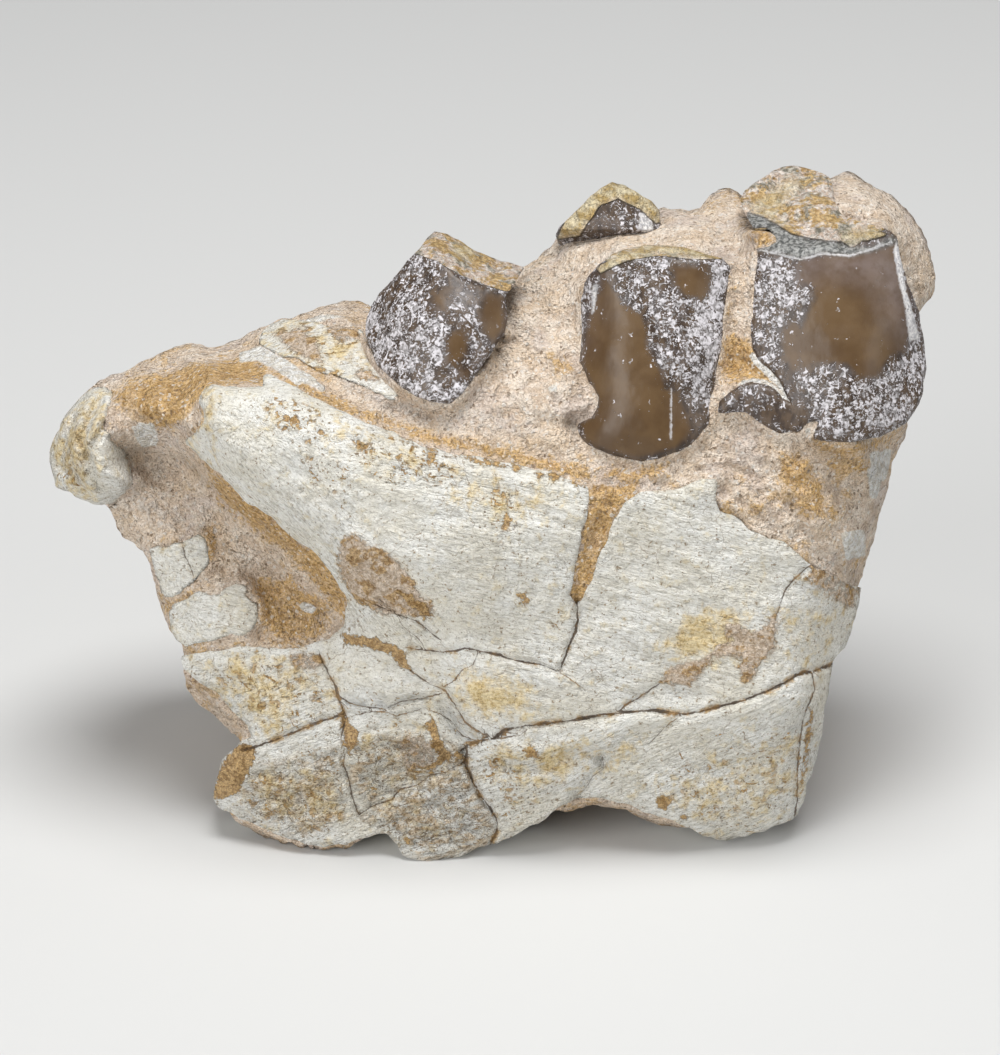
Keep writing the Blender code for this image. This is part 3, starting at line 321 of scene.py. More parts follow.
# Each patch: strength, outline
BONE_PATCHES = {
    "steep": [
        (1.0, [(180, 380), (300, 392), (360, 470), (420, 590), (470, 660), (340, 660), (200, 480)]),
    ],
    "rising": [
        (1.0, [(170, 650), (340, 650), (345, 708), (470, 742), (560, 722), (640, 712), (700, 712),
            (760, 695), (840, 662), (840, 860), (200, 870)]),
    ],
    "spongy": [
        (0.8, [(350, 744), (392, 738), (436, 736), (460, 750), (462, 764), (430, 772), (398, 788),
            (370, 802), (356, 790), (348, 760)]),
        (0.7, [(362, 816), (398, 796), (440, 774), (468, 768), (480, 800), (494, 826), (488, 846),
            (425, 862), (394, 842)]),
        (0.3, [(50, 450), (64, 412), (92, 392), (104, 420), (96, 452), (92, 494), (66, 484)]),
        (0.4, [(225, 770), (340, 742), (352, 820), (300, 842), (240, 818)]),
    ],
    "ochre": [
        (0.65, [(50, 460), (58, 424), (80, 396), (106, 390), (112, 436), (98, 452), (90, 500), (60, 486)]),
        (1.0, [(458, 680), (475, 672), (510, 676), (530, 690), (535, 708), (515, 720), (485, 716),
            (465, 706)]),
        (1.0, [(685, 620), (710, 612), (745, 612), (760, 625), (745, 650), (705, 664), (675, 662),
            (668, 645)]),
        (0.8, [(240, 695), (265, 690), (292, 700), (285, 722), (262, 732), (245, 718)]),
        (0.35, [(360, 730), (430, 716), (466, 760), (440, 800), (470, 840), (425, 860), (390, 832),
            (365, 812)]),
        (0.6, [(240, 775), (290, 760), (340, 770), (350, 815), (320, 838), (270, 828), (235, 805)]),
        (0.6, [(480, 740), (560, 735), (640, 745), (600, 770), (520, 800), (485, 780)]),
        (0.5, [(640, 790), (720, 760), (800, 730), (806, 790), (760, 832), (690, 826)]),
        (0.6, [(186, 660), (240, 650), (300, 655), (330, 690), (290, 722), (250, 735), (215, 695)]),
        (0.5, [(190, 400), (212, 388), (214, 430), (205, 452), (190, 440)]),
        (0.45, [(262, 398), (340, 420), (460, 456), (570, 480), (566, 506), (520, 540), (440, 484),
            (330, 450), (262, 428)]),
        (0.4, [(780, 600), (850, 600), (840, 650), (800, 670), (775, 650)]),
        (1.0, [(203, 386), (213, 386), (216, 405), (208, 428), (190, 440), (198, 424), (204, 408)]),
        (0.6, [(262, 334), (300, 320), (366, 330), (372, 360), (340, 376), (300, 362)]),
    ],
    "pores": [
        (0.5, [(50, 470), (66, 420), (88, 430), (94, 494), (66, 486)]),
        (1.0, [(262, 402), (285, 398), (310, 408), (332, 420), (330, 440), (305, 442), (280, 430)]),
        (1.0, [(355, 440), (385, 436), (420, 446), (452, 458), (455, 482), (420, 480), (385, 478),
            (362, 466)]),
        (0.8, [(478, 484), (522, 486), (524, 520), (512, 548), (496, 540), (480, 512)]),
        (0.8, [(300, 440), (350, 470), (345, 500), (310, 480)]),
        (0.5, [(190, 660), (300, 650), (335, 690), (330, 712), (262, 740), (230, 705)]),
        (0.4, [(360, 706), (455, 706), (470, 760), (485, 800), (490, 838), (430, 862), (392, 838),
            (362, 812)]),
        (0.5, [(245, 770), (300, 745), (345, 740), (355, 815), (330, 845), (260, 830), (235, 806)]),
        (0.5, [(470, 745), (560, 735), (560, 800), (500, 830), (475, 790)]),
        (0.45, [(640, 770), (800, 720), (800, 810), (740, 836), (650, 812)]),
        (0.4, [(262, 334), (300, 320), (366, 330), (372, 360), (340, 376), (300, 362)]),
    ],
    "sand": [
        (0.8, [(272, 334), (300, 326), (318, 340), (324, 364), (300, 357), (284, 347)]),
        (0.8, [(330, 316), (354, 322), (364, 340), (342, 344), (326, 332)]),
        (0.6, [(352, 366), (372, 368), (390, 382), (376, 388), (354, 380)]),
        (0.9, [(338, 548), (347, 534), (360, 535), (372, 545), (385, 553), (400, 562), (408, 572),
            (415, 588), (425, 595), (432, 603), (436, 612), (428, 617), (405, 616), (385, 616),
            (362, 603), (350, 594), (340, 574)]),
        (0.9, [(661, 682), (668, 668), (680, 662), (700, 658), (712, 650), (720, 643), (733, 640),
            (722, 632), (722, 624), (735, 621), (745, 624), (752, 632), (762, 626), (777, 613),
            (778, 625), (775, 640), (776, 650), (768, 655), (760, 662), (752, 680), (744, 682),
            (738, 668), (744, 660), (735, 656), (715, 658), (708, 665), (700, 675), (690, 687),
            (675, 685)]),
        (0.55, [(392, 740), (412, 730), (432, 736), (450, 744), (452, 762), (430, 770), (405, 776)]),
        (0.6, [(285, 652), (305, 648), (322, 655), (328, 668), (318, 676), (300, 672), (288, 666)]),
        (0.6, [(812, 562), (838, 572), (864, 588), (856, 615), (838, 606), (818, 590), (800, 578)]),
        (0.7, [(112, 396), (120, 404), (124, 432), (136, 450), (122, 450), (110, 436)]),
        (0.7, [(300, 322), (312, 326), (312, 338), (302, 334)]),
    ],
    "rust": [
        (1.0, [(213, 797), (218, 775), (222, 762), (232, 752), (242, 742), (258, 748), (250, 768),
            (240, 792), (222, 800)]),
        (0.9, [(396, 588), (412, 596), (430, 606), (434, 616), (424, 620), (408, 606)]),
        (1.0, [(340, 632), (375, 638), (395, 646), (406, 655), (410, 670), (402, 668), (392, 655),
            (372, 648), (345, 642)]),
        (0.8, [(522, 748), (532, 746), (542, 750), (540, 760), (528, 761)]),
        (0.8, [(655, 800), (664, 794), (673, 800), (668, 812), (658, 810)]),
        (0.8, [(678, 814), (688, 812), (691, 822), (682, 824)]),
        (0.8, [(518, 595), (526, 590), (531, 600), (524, 607)]),
        (0.6, [(395, 430), (445, 448), (500, 460), (560, 473), (588, 482), (588, 490), (550, 482),
            (500, 470), (440, 460), (395, 442)]),
        (0.7, [(205, 462), (235, 494), (270, 520), (310, 555), (345, 596), (340, 602), (300, 560),
            (262, 526), (225, 498), (200, 470)]),
        (0.5, [(850, 560), (870, 545), (868, 590), (850, 600), (836, 585)]),
        (0.5, [(286, 392), (300, 400), (318, 410), (312, 416), (292, 408)]),
        (0.6, [(384, 446), (392, 448), (404, 456), (410, 464), (400, 468), (388, 458)]),
        (0.6, [(420, 452), (432, 454), (450, 464), (452, 472), (436, 470), (422, 462)]),
        (0.7, [(334, 326), (342, 330), (346, 344), (338, 342)]),
        (0.8, [(306, 366), (322, 366), (342, 374), (336, 380), (318, 376)]),
        (0.6, [(246, 646), (256, 644), (260, 652), (252, 656)]),
        (0.6, [(322, 648), (334, 652), (332, 664), (324, 660)]),
        (0.9, [(343, 712), (349, 722), (360, 732), (358, 744), (350, 756), (344, 752), (342, 730)]),
        (0.8, [(426, 722), (431, 714), (438, 730), (448, 748), (468, 754), (466, 762), (444, 764),
            (430, 778), (424, 770), (434, 756), (428, 738)]),
        (0.5, [(366, 752), (376, 748), (392, 756), (410, 752), (404, 762), (384, 764), (370, 760)]),
        (0.5, [(404, 772), (420, 764), (430, 770), (418, 780)]),
        (0.5, [(300, 812), (312, 818), (308, 832), (296, 828)]),
        (0.6, [(405, 832), (416, 836), (414, 846), (404, 844)]),
        (0.7, [(808, 700), (816, 712), (810, 760), (800, 790), (798, 770), (804, 730)]),
    ],
    "grey": [
        (0.5, [(342, 696), (370, 700), (420, 692), (424, 700), (392, 712), (344, 708)]),
        (0.5, [(440, 702), (456, 706), (478, 736), (470, 748), (452, 738), (440, 716)]),
        (0.4, [(470, 728), (500, 728), (540, 724), (530, 738), (490, 744), (470, 744)]),
        (0.7, [(786, 716), (796, 718), (795, 730), (786, 730)]),
        (0.4, [(190, 540), (205, 545), (205, 565), (190, 560)]),
        (0.5, [(577, 600), (585, 602), (582, 625), (574, 622)]),
    ],
    "clean": [
        (1.0, [(216, 386), (258, 388), (250, 420), (220, 440), (206, 436), (212, 410)]),
        (1.0, [(630, 498), (720, 500), (780, 550), (770, 600), (640, 600), (606, 580)]),
        (1.0, [(88, 452), (106, 452), (130, 476), (132, 494), (104, 494), (90, 474)]),
    ],
}
# Kinds on the matrix: "rust" iron stain, the dark kind painted shade where shade falls (the trough under
# the ridge, beside the bone's edges, under the arch, beside and under the right tooth), "grey" greyer,
# darker matrix mostly beside and under the teeth, "bone" crumbs, "pale" lighter and smoother matrix
MATRIX_SOFTNESS = {"rust": 12.0, "painted_shade": 16.0, "grey": 14.0, "bone": 5.0, "pale": 24.0}
MATRIX_PATCHES = {
    "rust": [
        (1.0, [(112, 392), (150, 376), (205, 362), (250, 358), (268, 366), (266, 384), (232, 384),
            (212, 388), (190, 410), (172, 432), (148, 425), (118, 410)]),
        (1.0, [(262, 366), (300, 392), (340, 412), (380, 422), (440, 445), (500, 458), (560, 474),
            (592, 484), (586, 468), (520, 452), (450, 436), (400, 424), (350, 404), (300, 378)]),
        (1.0, [(588, 484), (640, 482), (632, 500), (622, 512), (606, 548), (594, 582), (580, 606),
            (566, 600), (574, 570), (584, 520)]),
        (0.9, [(205, 462), (240, 485), (290, 520), (330, 560), (352, 600), (345, 622), (325, 600),
            (290, 556), (250, 530), (215, 500)]),
        (0.7, [(245, 575), (290, 570), (330, 600), (340, 630), (300, 645), (262, 640), (256, 600)]),
        (0.9, [(590, 480), (612, 462), (640, 470), (668, 464), (664, 474), (640, 482), (610, 484)]),
        (0.8, [(660, 448), (676, 452), (668, 462), (654, 458)]),
        (0.6, [(700, 496), (730, 500), (752, 520), (736, 530), (708, 512)]),
        (0.9, [(780, 455), (810, 458), (812, 488), (790, 492), (778, 476)]),
        (0.9, [(818, 460), (872, 458), (868, 474), (830, 474)]),
        (0.9, [(798, 480), (826, 478), (824, 515), (806, 522), (796, 504)]),
        (0.7, [(748, 498), (768, 498), (768, 518), (750, 516)]),
        (0.8, [(826, 502), (842, 504), (840, 518), (824, 516)]),
        (0.9, [(730, 330), (752, 340), (770, 372), (788, 400), (770, 392), (745, 382), (726, 388),
            (722, 360)]),
        (0.6, [(722, 265), (736, 262), (738, 300), (726, 320)]),
        (0.8, [(560, 228), (580, 210), (592, 196), (604, 190), (596, 206), (578, 226)]),
        (0.7, [(545, 350), (575, 360), (582, 378), (556, 376)]),
        (0.5, [(180, 345), (230, 345), (300, 320), (370, 306), (366, 318), (300, 332), (235, 356)]),
        (0.9, [(228, 735), (244, 738), (240, 756), (228, 770), (222, 800), (215, 790), (222, 760)]),
        (0.6, [(140, 560), (160, 600), (184, 650), (200, 654), (176, 600), (158, 560)]),
        (0.5, [(840, 520), (872, 545), (866, 580), (840, 570)]),
        (1.0, [(748, 230), (768, 228), (776, 240), (768, 247), (756, 246)]),
        (0.9, [(735, 196), (756, 188), (766, 196), (752, 208), (738, 206)]),
        (0.9, [(812, 440), (850, 446), (880, 440), (890, 436), (880, 448), (850, 458), (818, 456)]),
        (0.7, [(186, 648), (240, 640), (244, 645), (200, 658), (186, 656)]),
        (0.8, [(206, 530), (216, 534), (220, 560), (210, 572), (205, 556)]),
        (0.7, [(186, 588), (200, 578), (208, 586), (190, 598), (172, 606), (166, 622), (160, 606)]),
    ],
    # Painted shade: the trough under the ridge, beside the bone's edges, under the arch, beside and under
    # the right tooth
    "painted_shade": [
        (0.5, [(100, 440), (150, 436), (205, 448), (222, 480), (250, 510), (300, 545), (286, 552),
            (240, 530), (205, 500), (180, 478), (130, 476), (104, 462)]),
        (0.6, [(838, 566), (862, 562), (862, 590), (842, 592)]),
        (0.7, [(178, 668), (200, 683), (215, 692), (228, 706), (245, 722), (256, 740), (238, 740),
            (212, 716), (186, 690)]),
        (0.8, [(560, 812), (600, 800), (650, 812), (690, 830), (660, 830), (600, 812), (560, 822)]),
        (0.9, [(745, 212), (752, 214), (753, 230), (747, 230)]),
        (1.0, [(810, 438), (818, 444), (836, 449), (842, 458), (826, 458), (812, 450)]),
    ],
    "grey": [
        (0.5, [(118, 480), (150, 486), (190, 500), (214, 524), (205, 545), (160, 540), (130, 520)]),
        (0.6, [(115, 400), (150, 402), (150, 424), (118, 424)]),
        (0.6, [(330, 370), (395, 390), (450, 410), (470, 440), (400, 425), (345, 398)]),
        (0.5, [(440, 408), (500, 395), (560, 430), (520, 450), (450, 440)]),
        (0.6, [(740, 250), (756, 250), (754, 340), (740, 330)]),
        (0.4, [(600, 232), (660, 236), (700, 246), (660, 250), (600, 246)]),
        (0.7, [(346, 308), (364, 308), (366, 320), (350, 322)]),
        (0.8, [(714, 228), (724, 226), (724, 240), (714, 240)]),
    ],
    "bone": [
        (0.9, [(868, 452), (893, 448), (886, 482), (874, 482)]),
        (0.9, [(840, 532), (866, 528), (866, 556), (846, 562)]),
        (0.8, [(298, 604), (306, 601), (318, 606), (314, 614), (302, 613)]),
        (0.7, [(344, 584), (352, 600), (378, 616), (402, 628), (396, 636), (370, 630), (350, 622)]),
        (0.9, [(238, 352), (262, 345), (300, 368), (330, 388), (322, 393), (290, 376), (262, 361),
            (240, 362)]),
        (0.7, [(262, 330), (290, 320), (330, 312), (352, 316), (330, 322), (290, 330), (266, 340)]),
        (0.6, [(128, 420), (142, 424), (150, 434), (136, 438), (126, 430)]),
        (0.5, [(800, 426), (812, 420), (816, 440), (802, 444)]),
        (1.0, [(749, 355), (754, 352), (761, 362), (771, 370), (779, 380), (786, 391), (792, 404),
            (786, 402), (776, 384), (764, 373), (754, 364)]),
        (1.0, [(734, 387), (742, 381), (753, 378), (766, 380), (777, 387), (788, 401), (782, 402),
            (774, 392), (764, 386), (752, 383), (742, 386)]),
        (0.8, [(132, 434), (138, 421), (146, 424), (154, 422), (160, 438), (158, 448), (142, 448)]),
        (0.8, [(258, 352), (275, 356), (296, 372), (304, 386), (296, 386), (276, 372), (258, 362)]),
        (0.8, [(866, 470), (876, 460), (892, 450), (888, 466), (876, 500), (868, 498)]),
        (0.6, [(544, 386), (556, 380), (560, 392), (548, 396)]),
    ],
    "pale": [
        (1.0, [(500, 290), (560, 262), (575, 300), (570, 372), (560, 410), (500, 380), (480, 380)]),
        (1.0, [(560, 250), (620, 236), (700, 214), (740, 210), (730, 260), (600, 262)]),
        (1.0, [(835, 176), (900, 196), (935, 280), (930, 300), (908, 290), (896, 232), (850, 218)]),
        (0.8, [(400, 400), (470, 396), (560, 420), (560, 450), (470, 436)]),
    ],
}
# Lumps of matrix: half width and height in mm (less than zero is a hollow), then the way they run
MATRIX_LUMPS = [
    (1.2, 1.9, [(574, 376), (584, 388), (589, 400), (586, 411)]),
    (1.1, 3.2, [(752, 236), (762, 238), (769, 239)]),
    (0.8, 1.2, [(804, 446), (808, 434), (814, 424)]),
    (0.9, 0.6, [(188, 652), (206, 652), (236, 643)]),
    (0.5, -0.6, [(118, 452), (150, 452), (186, 462)]),
    (0.5, -0.5, [(132, 468), (160, 472), (196, 472)]),
    (0.5, -0.6, [(640, 470), (664, 460), (690, 462)]),
    (1.4, 0.5, [(520, 300), (540, 340), (560, 380)]),
    (0.8, -0.4, [(500, 372), (530, 384), (556, 376)]),
    (1.6, 0.7, [(480, 405), (520, 396), (560, 412)]),
    (0.6, -0.5, [(700, 450), (720, 448), (740, 458)]),
    (1.2, 0.6, [(850, 180), (870, 196), (888, 214)]),
    (0.4, -0.5, [(904, 276), (922, 272), (932, 276)]),
    (0.4, -0.5, [(906, 290), (922, 288), (930, 292)]),
    (1.5, 0.6, [(730, 440), (760, 446), (790, 446)]),
    (0.6, -0.7, [(700, 470), (730, 466), (752, 476)]),
    (0.9, 0.9, [(612, 476), (640, 478), (664, 472)]),
    (1.0, 0.9, [(676, 486), (700, 492), (716, 506)]),
    (0.8, 0.8, [(724, 512), (744, 530), (764, 546)]),
    (0.5, -0.7, [(712, 492), (736, 500), (756, 512)]),
    (1.0, 0.8, [(770, 486), (800, 492), (812, 512)]),
    (0.6, -0.6, [(790, 504), (800, 524), (812, 540)]),
    (0.9, 0.7, [(150, 488), (180, 496), (204, 510)]),
    (0.7, -0.8, [(200, 478), (222, 500), (250, 524), (280, 545)]),
    (0.8, 0.7, [(236, 520), (262, 546), (290, 566)]),
    (0.8, 0.6, [(222, 560), (244, 580), (262, 610)]),
    (0.6, -0.5, [(256, 576), (276, 600), (288, 628)]),
    (1.0, 0.6, [(140, 380), (190, 372), (232, 366)]),
    (0.6, -0.5, [(160, 400), (186, 396), (200, 412)]),
]
# Kinds on the enamel: "bare" is smooth, the milky kind a painted sheen, "band" its blue-grey section,
# "white" a chalky line and, down the right tooth's right edge and the middle tooth's left edge, a painted
# highlight, "yellow" worn dentine, "flaky" more flakes (fewer if less than zero)
ENAMEL_SOFTNESS = {"bare": 7.0, "painted_sheen": 18.0, "band": 3.0, "white": 3.0, "yellow": 5.0, "flaky": 12.0}
# How much of the enamel elsewhere is covered by whitish flakes
FLAKY_ENAMEL = {"tooth_1": 1.15, "tooth_2": 1.0, "tooth_2_cusp": 0.9, "tooth_3": 0.8}
ENAMEL_PATCHES = {
    "tooth_1": {
        "bare": [
            (0.8, [(446, 340), (452, 332), (462, 330), (468, 340), (466, 354), (456, 366), (448, 362)]),
            (0.6, [(434, 372), (452, 376), (476, 360), (480, 340), (484, 352), (470, 376), (450, 384)]),
            (0.7, [(486, 292), (504, 298), (505, 326), (496, 342), (484, 336), (480, 312)]),
            (0.6, [(432, 290), (450, 296), (446, 312), (430, 306)]),
        ],
        "flaky": [
            (-0.6, [(446, 268), (506, 294), (508, 346), (494, 336), (476, 306), (446, 290)]),
            (-0.4, [(420, 276), (450, 270), (450, 300), (470, 330), (440, 320), (424, 300)]),
            (-0.4, [(378, 290), (400, 262), (424, 244), (420, 262), (396, 290), (384, 320)]),
        ],
        "yellow": [
            (0.9, [(452, 246), (466, 243), (478, 250), (470, 260), (456, 258)]),
        ],
        "white": [
            (0.55, [(428, 256), (452, 262), (480, 276), (506, 290), (508, 293), (480, 280), (450, 266),
                (426, 260)]),
        ],
    },
    "tooth_2": {
        "bare": [
            (1.0, [(603, 272), (612, 290), (622, 304), (640, 316), (646, 330), (644, 344), (652, 358),
                (660, 372), (664, 390), (676, 394), (684, 412), (690, 430), (676, 446), (640, 456),
                (610, 450), (588, 440), (582, 425), (598, 416), (600, 400), (592, 382), (584, 362),
                (588, 330), (594, 306), (602, 290)]),
            (0.9, [(674, 266), (706, 268), (712, 282), (706, 298), (686, 296), (676, 284)]),
        ],
        "flaky": [
            (0.5, [(694, 262), (728, 262), (724, 330), (716, 380), (700, 400), (698, 330)]),
            (-0.5, [(580, 420), (650, 440), (706, 424), (690, 450), (640, 464), (590, 452)]),
            (-0.4, [(650, 392), (700, 400), (706, 420), (690, 446), (656, 446)]),
        ],
        # Painted sheen along the middle tooth's left edge
        "painted_sheen": [
            (0.5, [(584, 284), (600, 276), (598, 300), (586, 350), (580, 350)]),
        ],
        "white": [
            (0.9, [(670, 388), (672, 388), (672, 440), (670, 440)]),
            # A painted highlight along the middle tooth's left edge
            (0.6, [(590, 284), (600, 282), (596, 312), (590, 318)]),
        ],
        "yellow": [
            (1.0, [(596, 268), (620, 254), (650, 244), (700, 246), (726, 258), (700, 258), (660, 252),
                (625, 262), (600, 274)]),
        ],
    },
    "tooth_2_cusp": {
        "yellow": [
            (1.0, [(556, 240), (566, 218), (590, 192), (611, 178), (634, 184), (656, 202), (664, 220),
                (656, 224), (640, 210), (618, 199), (600, 206), (590, 220), (580, 236)]),
        ],
        "white": [
            (0.8, [(640, 212), (652, 216), (654, 230), (646, 236), (638, 228)]),
        ],
        "flaky": [
            (-0.4, [(590, 218), (616, 222), (616, 236), (590, 236)]),
        ],
    },
    "tooth_3": {
        "bare": [
            (1.0, [(800, 262), (830, 256), (870, 252), (894, 246), (902, 290), (908, 330), (904, 348),
                (888, 356), (876, 376), (860, 376), (848, 362), (820, 360), (804, 366), (796, 350),
                (802, 330), (808, 316), (818, 298), (812, 284), (800, 280)]),
            (0.8, [(782, 330), (794, 318), (804, 330), (800, 366), (792, 372), (784, 352)]),
        ],
        # Painted sheen on the upper right of the right tooth
        "painted_sheen": [
            (1.0, [(796, 252), (840, 250), (880, 246), (904, 258), (912, 330), (900, 340), (888, 310),
                (872, 284), (840, 276), (800, 280)]),
        ],
        "white": [
            # A painted highlight down the right tooth's right edge
            (0.62, [(896, 236), (902, 250), (908, 290), (916, 318), (922, 340), (908, 344), (904, 310),
                (897, 280), (892, 250)]),
            (0.8, [(758, 248), (784, 254), (800, 258), (824, 252), (850, 254), (874, 247), (892, 240),
                (893, 243), (874, 250), (850, 257), (824, 255), (800, 261), (784, 257), (758, 251)]),
        ],
        "flaky": [
            (0.35, [(800, 372), (850, 380), (900, 350), (926, 330), (926, 390), (900, 426), (840, 440),
                (816, 424), (800, 400)]),
            (0.4, [(752, 250), (800, 256), (812, 290), (790, 330), (776, 380), (756, 340), (750, 300)]),
            (-0.4, [(752, 340), (772, 350), (780, 384), (764, 372), (752, 356)]),
            (-0.3, [(790, 384), (812, 390), (816, 420), (796, 426), (780, 420), (784, 400)]),
            (-0.3, [(738, 400), (790, 408), (796, 430), (770, 430), (744, 414)]),
            (-0.3, [(842, 384), (866, 380), (860, 394), (840, 394)]),
        ],
        "band": [
            (1.0, [(746, 212), (762, 216), (776, 224), (792, 234), (812, 239), (842, 242), (850, 247),
                (872, 247), (893, 236), (897, 242), (876, 250), (850, 256), (824, 253), (800, 259),
                (784, 254), (758, 249), (774, 240), (766, 228), (750, 229)]),
        ],
        "yellow": [
            (0.8, [(842, 234), (856, 229), (874, 229), (888, 233), (886, 237), (868, 242), (850, 242),
                (842, 239)]),
            (0.6, [(748, 206), (770, 190), (790, 176), (806, 180), (792, 196), (776, 214), (790, 228),
                (770, 222), (754, 216)]),
        ],
    },
}


def lattice_noise(points, size, seed):
    """Smooth noise from -1 to 1 over points in mm."""
    scaled = np.asarray(points, float) / size
    cell = np.floor(scaled)
    part = scaled - cell
    part = part * part * (3.0 - 2.0 * part)
    total = np.zeros(len(scaled))
    for corner in np.ndindex(2, 2, 2):
        corner = np.array(corner)
        mixed = np.sin((cell + corner) @ np.array([127.1, 311.7, 74.7]) + seed * 17.3) * 43758.5453
        weight = np.prod(np.where(corner, part, 1.0 - part), axis=1)
        total += weight * (mixed - np.floor(mixed))
    return 2.0 * total - 1.0


def layered_noise(points, size, seed, layers=3, fall=0.5):
    """Several sizes of smooth noise added up."""
    total = np.zeros(len(points))
    for layer in range(layers):
        total += fall ** layer * lattice_noise(points, size * 0.5 ** layer, seed + 7 * layer)
    return total


def relief(points, waves):
    """Noise added up from waves of (height in mm, size in mm, seed, layers, fall from one to the next)."""
    return sum(height * layered_noise(points, *wave) for height, *wave in waves)


def depth_through(samples, softness=0.004):
    """A smooth depth over (px, py) that passes near samples of (px, py, depth)."""
    samples = np.array(samples, float)
    centres = samples[:, :2] / 100.0
    count = len(centres)
    at_once = 20000

    def kernel(a, b):
        squared = ((a[:, None, :] - b[None, :, :]) ** 2).sum(axis=2)
        return 0.5 * squared * np.log(squared + 1e-9)

    system = np.zeros((count + 3, count + 3))
    system[:count, :count] = kernel(centres, centres) + np.eye(count) * softness
    system[:count, count] = 1.0
    system[:count, count + 1:] = centres
    system[count:, :count] = system[:count, count:].T
    weights = np.linalg.solve(system, np.concatenate([samples[:, 2], np.zeros(3)]))

    def depth(px, py):
        found = np.empty(len(px))
        for start in range(0, len(px), at_once):
            part = slice(start, start + at_once)
            at = np.stack([px[part], py[part]], axis=1) / 100.0
            found[part] = kernel(at, centres) @ weights[:count] + weights[count] + at @ weights[count + 1:]
        return found

    return depth


def line_distance(px, py, points, closed):
    """How far each point is from a line through points, in the same unit as px."""
    start = np.array(points, float)
    along = np.roll(start, -1, axis=0) - start
    best = np.full(len(px), 1e9)
    for (ax, ay), (bx, by) in list(zip(start, along))[: len(start) - (0 if closed else 1)]:
        share = ((px - ax) * bx + (py - ay) * by) / max(bx * bx + by * by, 1e-9)
        share = np.clip(share, 0.0, 1.0)
        best = np.minimum(best, (px - ax - share * bx) ** 2 + (py - ay - share * by) ** 2)
    return np.sqrt(best)


def inside(px, py, outline):
    """Whether each point is inside a closed outline."""
    odd = np.zeros(len(px), bool)
    outline = np.array(outline, float)
    for (ax, ay), (bx, by) in zip(outline, np.roll(outline, -1, axis=0)):
        if ay == by:
            continue
        crosses = (ay > py) != (by > py)
        odd ^= crosses & (px < (bx - ax) * (py - ay) / (by - ay) + ax)
    return odd


def near_box(px, py, points, margin):
    """Whether each point lies in the box around some points, widened by a margin in px."""
    low, high = np.min(points, axis=0) - margin, np.max(points, axis=0) + margin
    return (px > low[0]) & (px < high[0]) & (py > low[1]) & (py < high[1])


def edge_distance(px, py, outline):
    """How far each point is from an outline, in mm."""
    return line_distance(px, py, outline, True) * UNIT_MM


def patch_weight(px, py, outline, softness):
    """1 inside an outline, 0 outside it, over softness in px."""
    near = near_box(px, py, outline, softness)
    weight = np.zeros(len(px))
    distance = line_distance(px[near], py[near], outline, True)
    signed = np.where(inside(px[near], py[near], outline), distance, -distance)
    weight[near] = np.clip(0.5 + 0.5 * signed / softness, 0.0, 1.0)
    return weight


def patch_field(px, py, patches, softness):
    """The strongest of some patches at each point."""
    field = np.zeros(len(px))
    for strength, outline in patches:
        field = np.maximum(field, strength * patch_weight(px, py, outline, softness))
    return field


def line_relief(px, py, lines):
    """How deep soft grooves along some lines are, in mm."""
    total = np.zeros(len(px))
    for half_width, depth, points in lines:
        distance = line_distance(px, py, points, False) * UNIT_MM
        total += depth * np.exp(-((distance / half_width) ** 2))
    return total


def rim_round(distance, radius):
    """How much deeper a rounded rim lies at this distance from the edge."""
    within = np.clip(radius - distance, 0.0, radius)
    return radius - np.sqrt(np.maximum(radius * radius - within * within, 0.0))


def smooth_max(a, b, width):
    """The greater of two, rounded over a width where they meet."""
    return 0.5 * (a + b + np.sqrt((a - b) ** 2 + width * width))


def row_frame(px, py, w):
    """Points of the view frame in the row frame, in mm."""
    scale = UNIT_MM * (EYE_MM + w) / EYE_MM
    across = (px - CENTRE_PX) * scale
    up = (CENTRE_PY - py) * scale
    x = ORIGIN_MM[0] + across
    y = ORIGIN_MM[1] + up * math.sin(EYE_TILT) + w * math.cos(EYE_TILT)
    z = ORIGIN_MM[2] + up * math.cos(EYE_TILT) - w * math.sin(EYE_TILT)
    return np.stack([x, y, z], axis=1)


def depth_at_height(py, height):
    """The depth at which the line of sight through py is at this height."""
    up = (CENTRE_PY - py) * UNIT_MM
    drop = math.sin(EYE_TILT) - up * math.cos(EYE_TILT) / EYE_MM
    return (ORIGIN_MM[2] + up * math.cos(EYE_TILT) - height) / drop


def depth_at_back(py, y):
    """The depth at which the line of sight through py reaches this y."""
    up = (CENTRE_PY - py) * UNIT_MM
    run = math.cos(EYE_TILT) + up * math.sin(EYE_TILT) / EYE_MM
    return (y - ORIGIN_MM[1] - up * math.sin(EYE_TILT)) / run


def on_plane(px, py):
    """Points of the view frame as flat places in mm, for noise."""
    return np.stack([px, py, px * 0.0], axis=1) * UNIT_MM


block_depth = depth_through(BLOCK_DEPTHS)
left_tooth_depth = depth_through(LEFT_TOOTH_DEPTHS)
middle_tooth_depth = depth_through(MIDDLE_TOOTH_DEPTHS)
right_tooth_depth = depth_through(RIGHT_TOOTH_DEPTHS)


def crack_fields(px, py):
    """(How deep the cracks cut, how far off the nearest crack's edge is) in mm."""
    cut = np.zeros(len(px))
    nearest = np.full(len(px), FAR_MM)
    ragged = layered_noise(on_plane(px, py), 1.6, 71, 2) * 0.2
    for half_width, depth, points in CRACKS:
        near = near_box(px, py, points, CRACK_REACH_PX)
        distance = line_distance(px[near], py[near], points, False) * UNIT_MM
        distance = np.maximum(distance + ragged[near], 0.0)
        groove = 0.8 * depth * np.exp(-((distance / (0.5 * half_width + 0.14)) ** 2))
        cut[near] = np.maximum(cut[near], groove)
        nearest[near] = np.minimum(nearest[near], distance - half_width)
    return cut, nearest


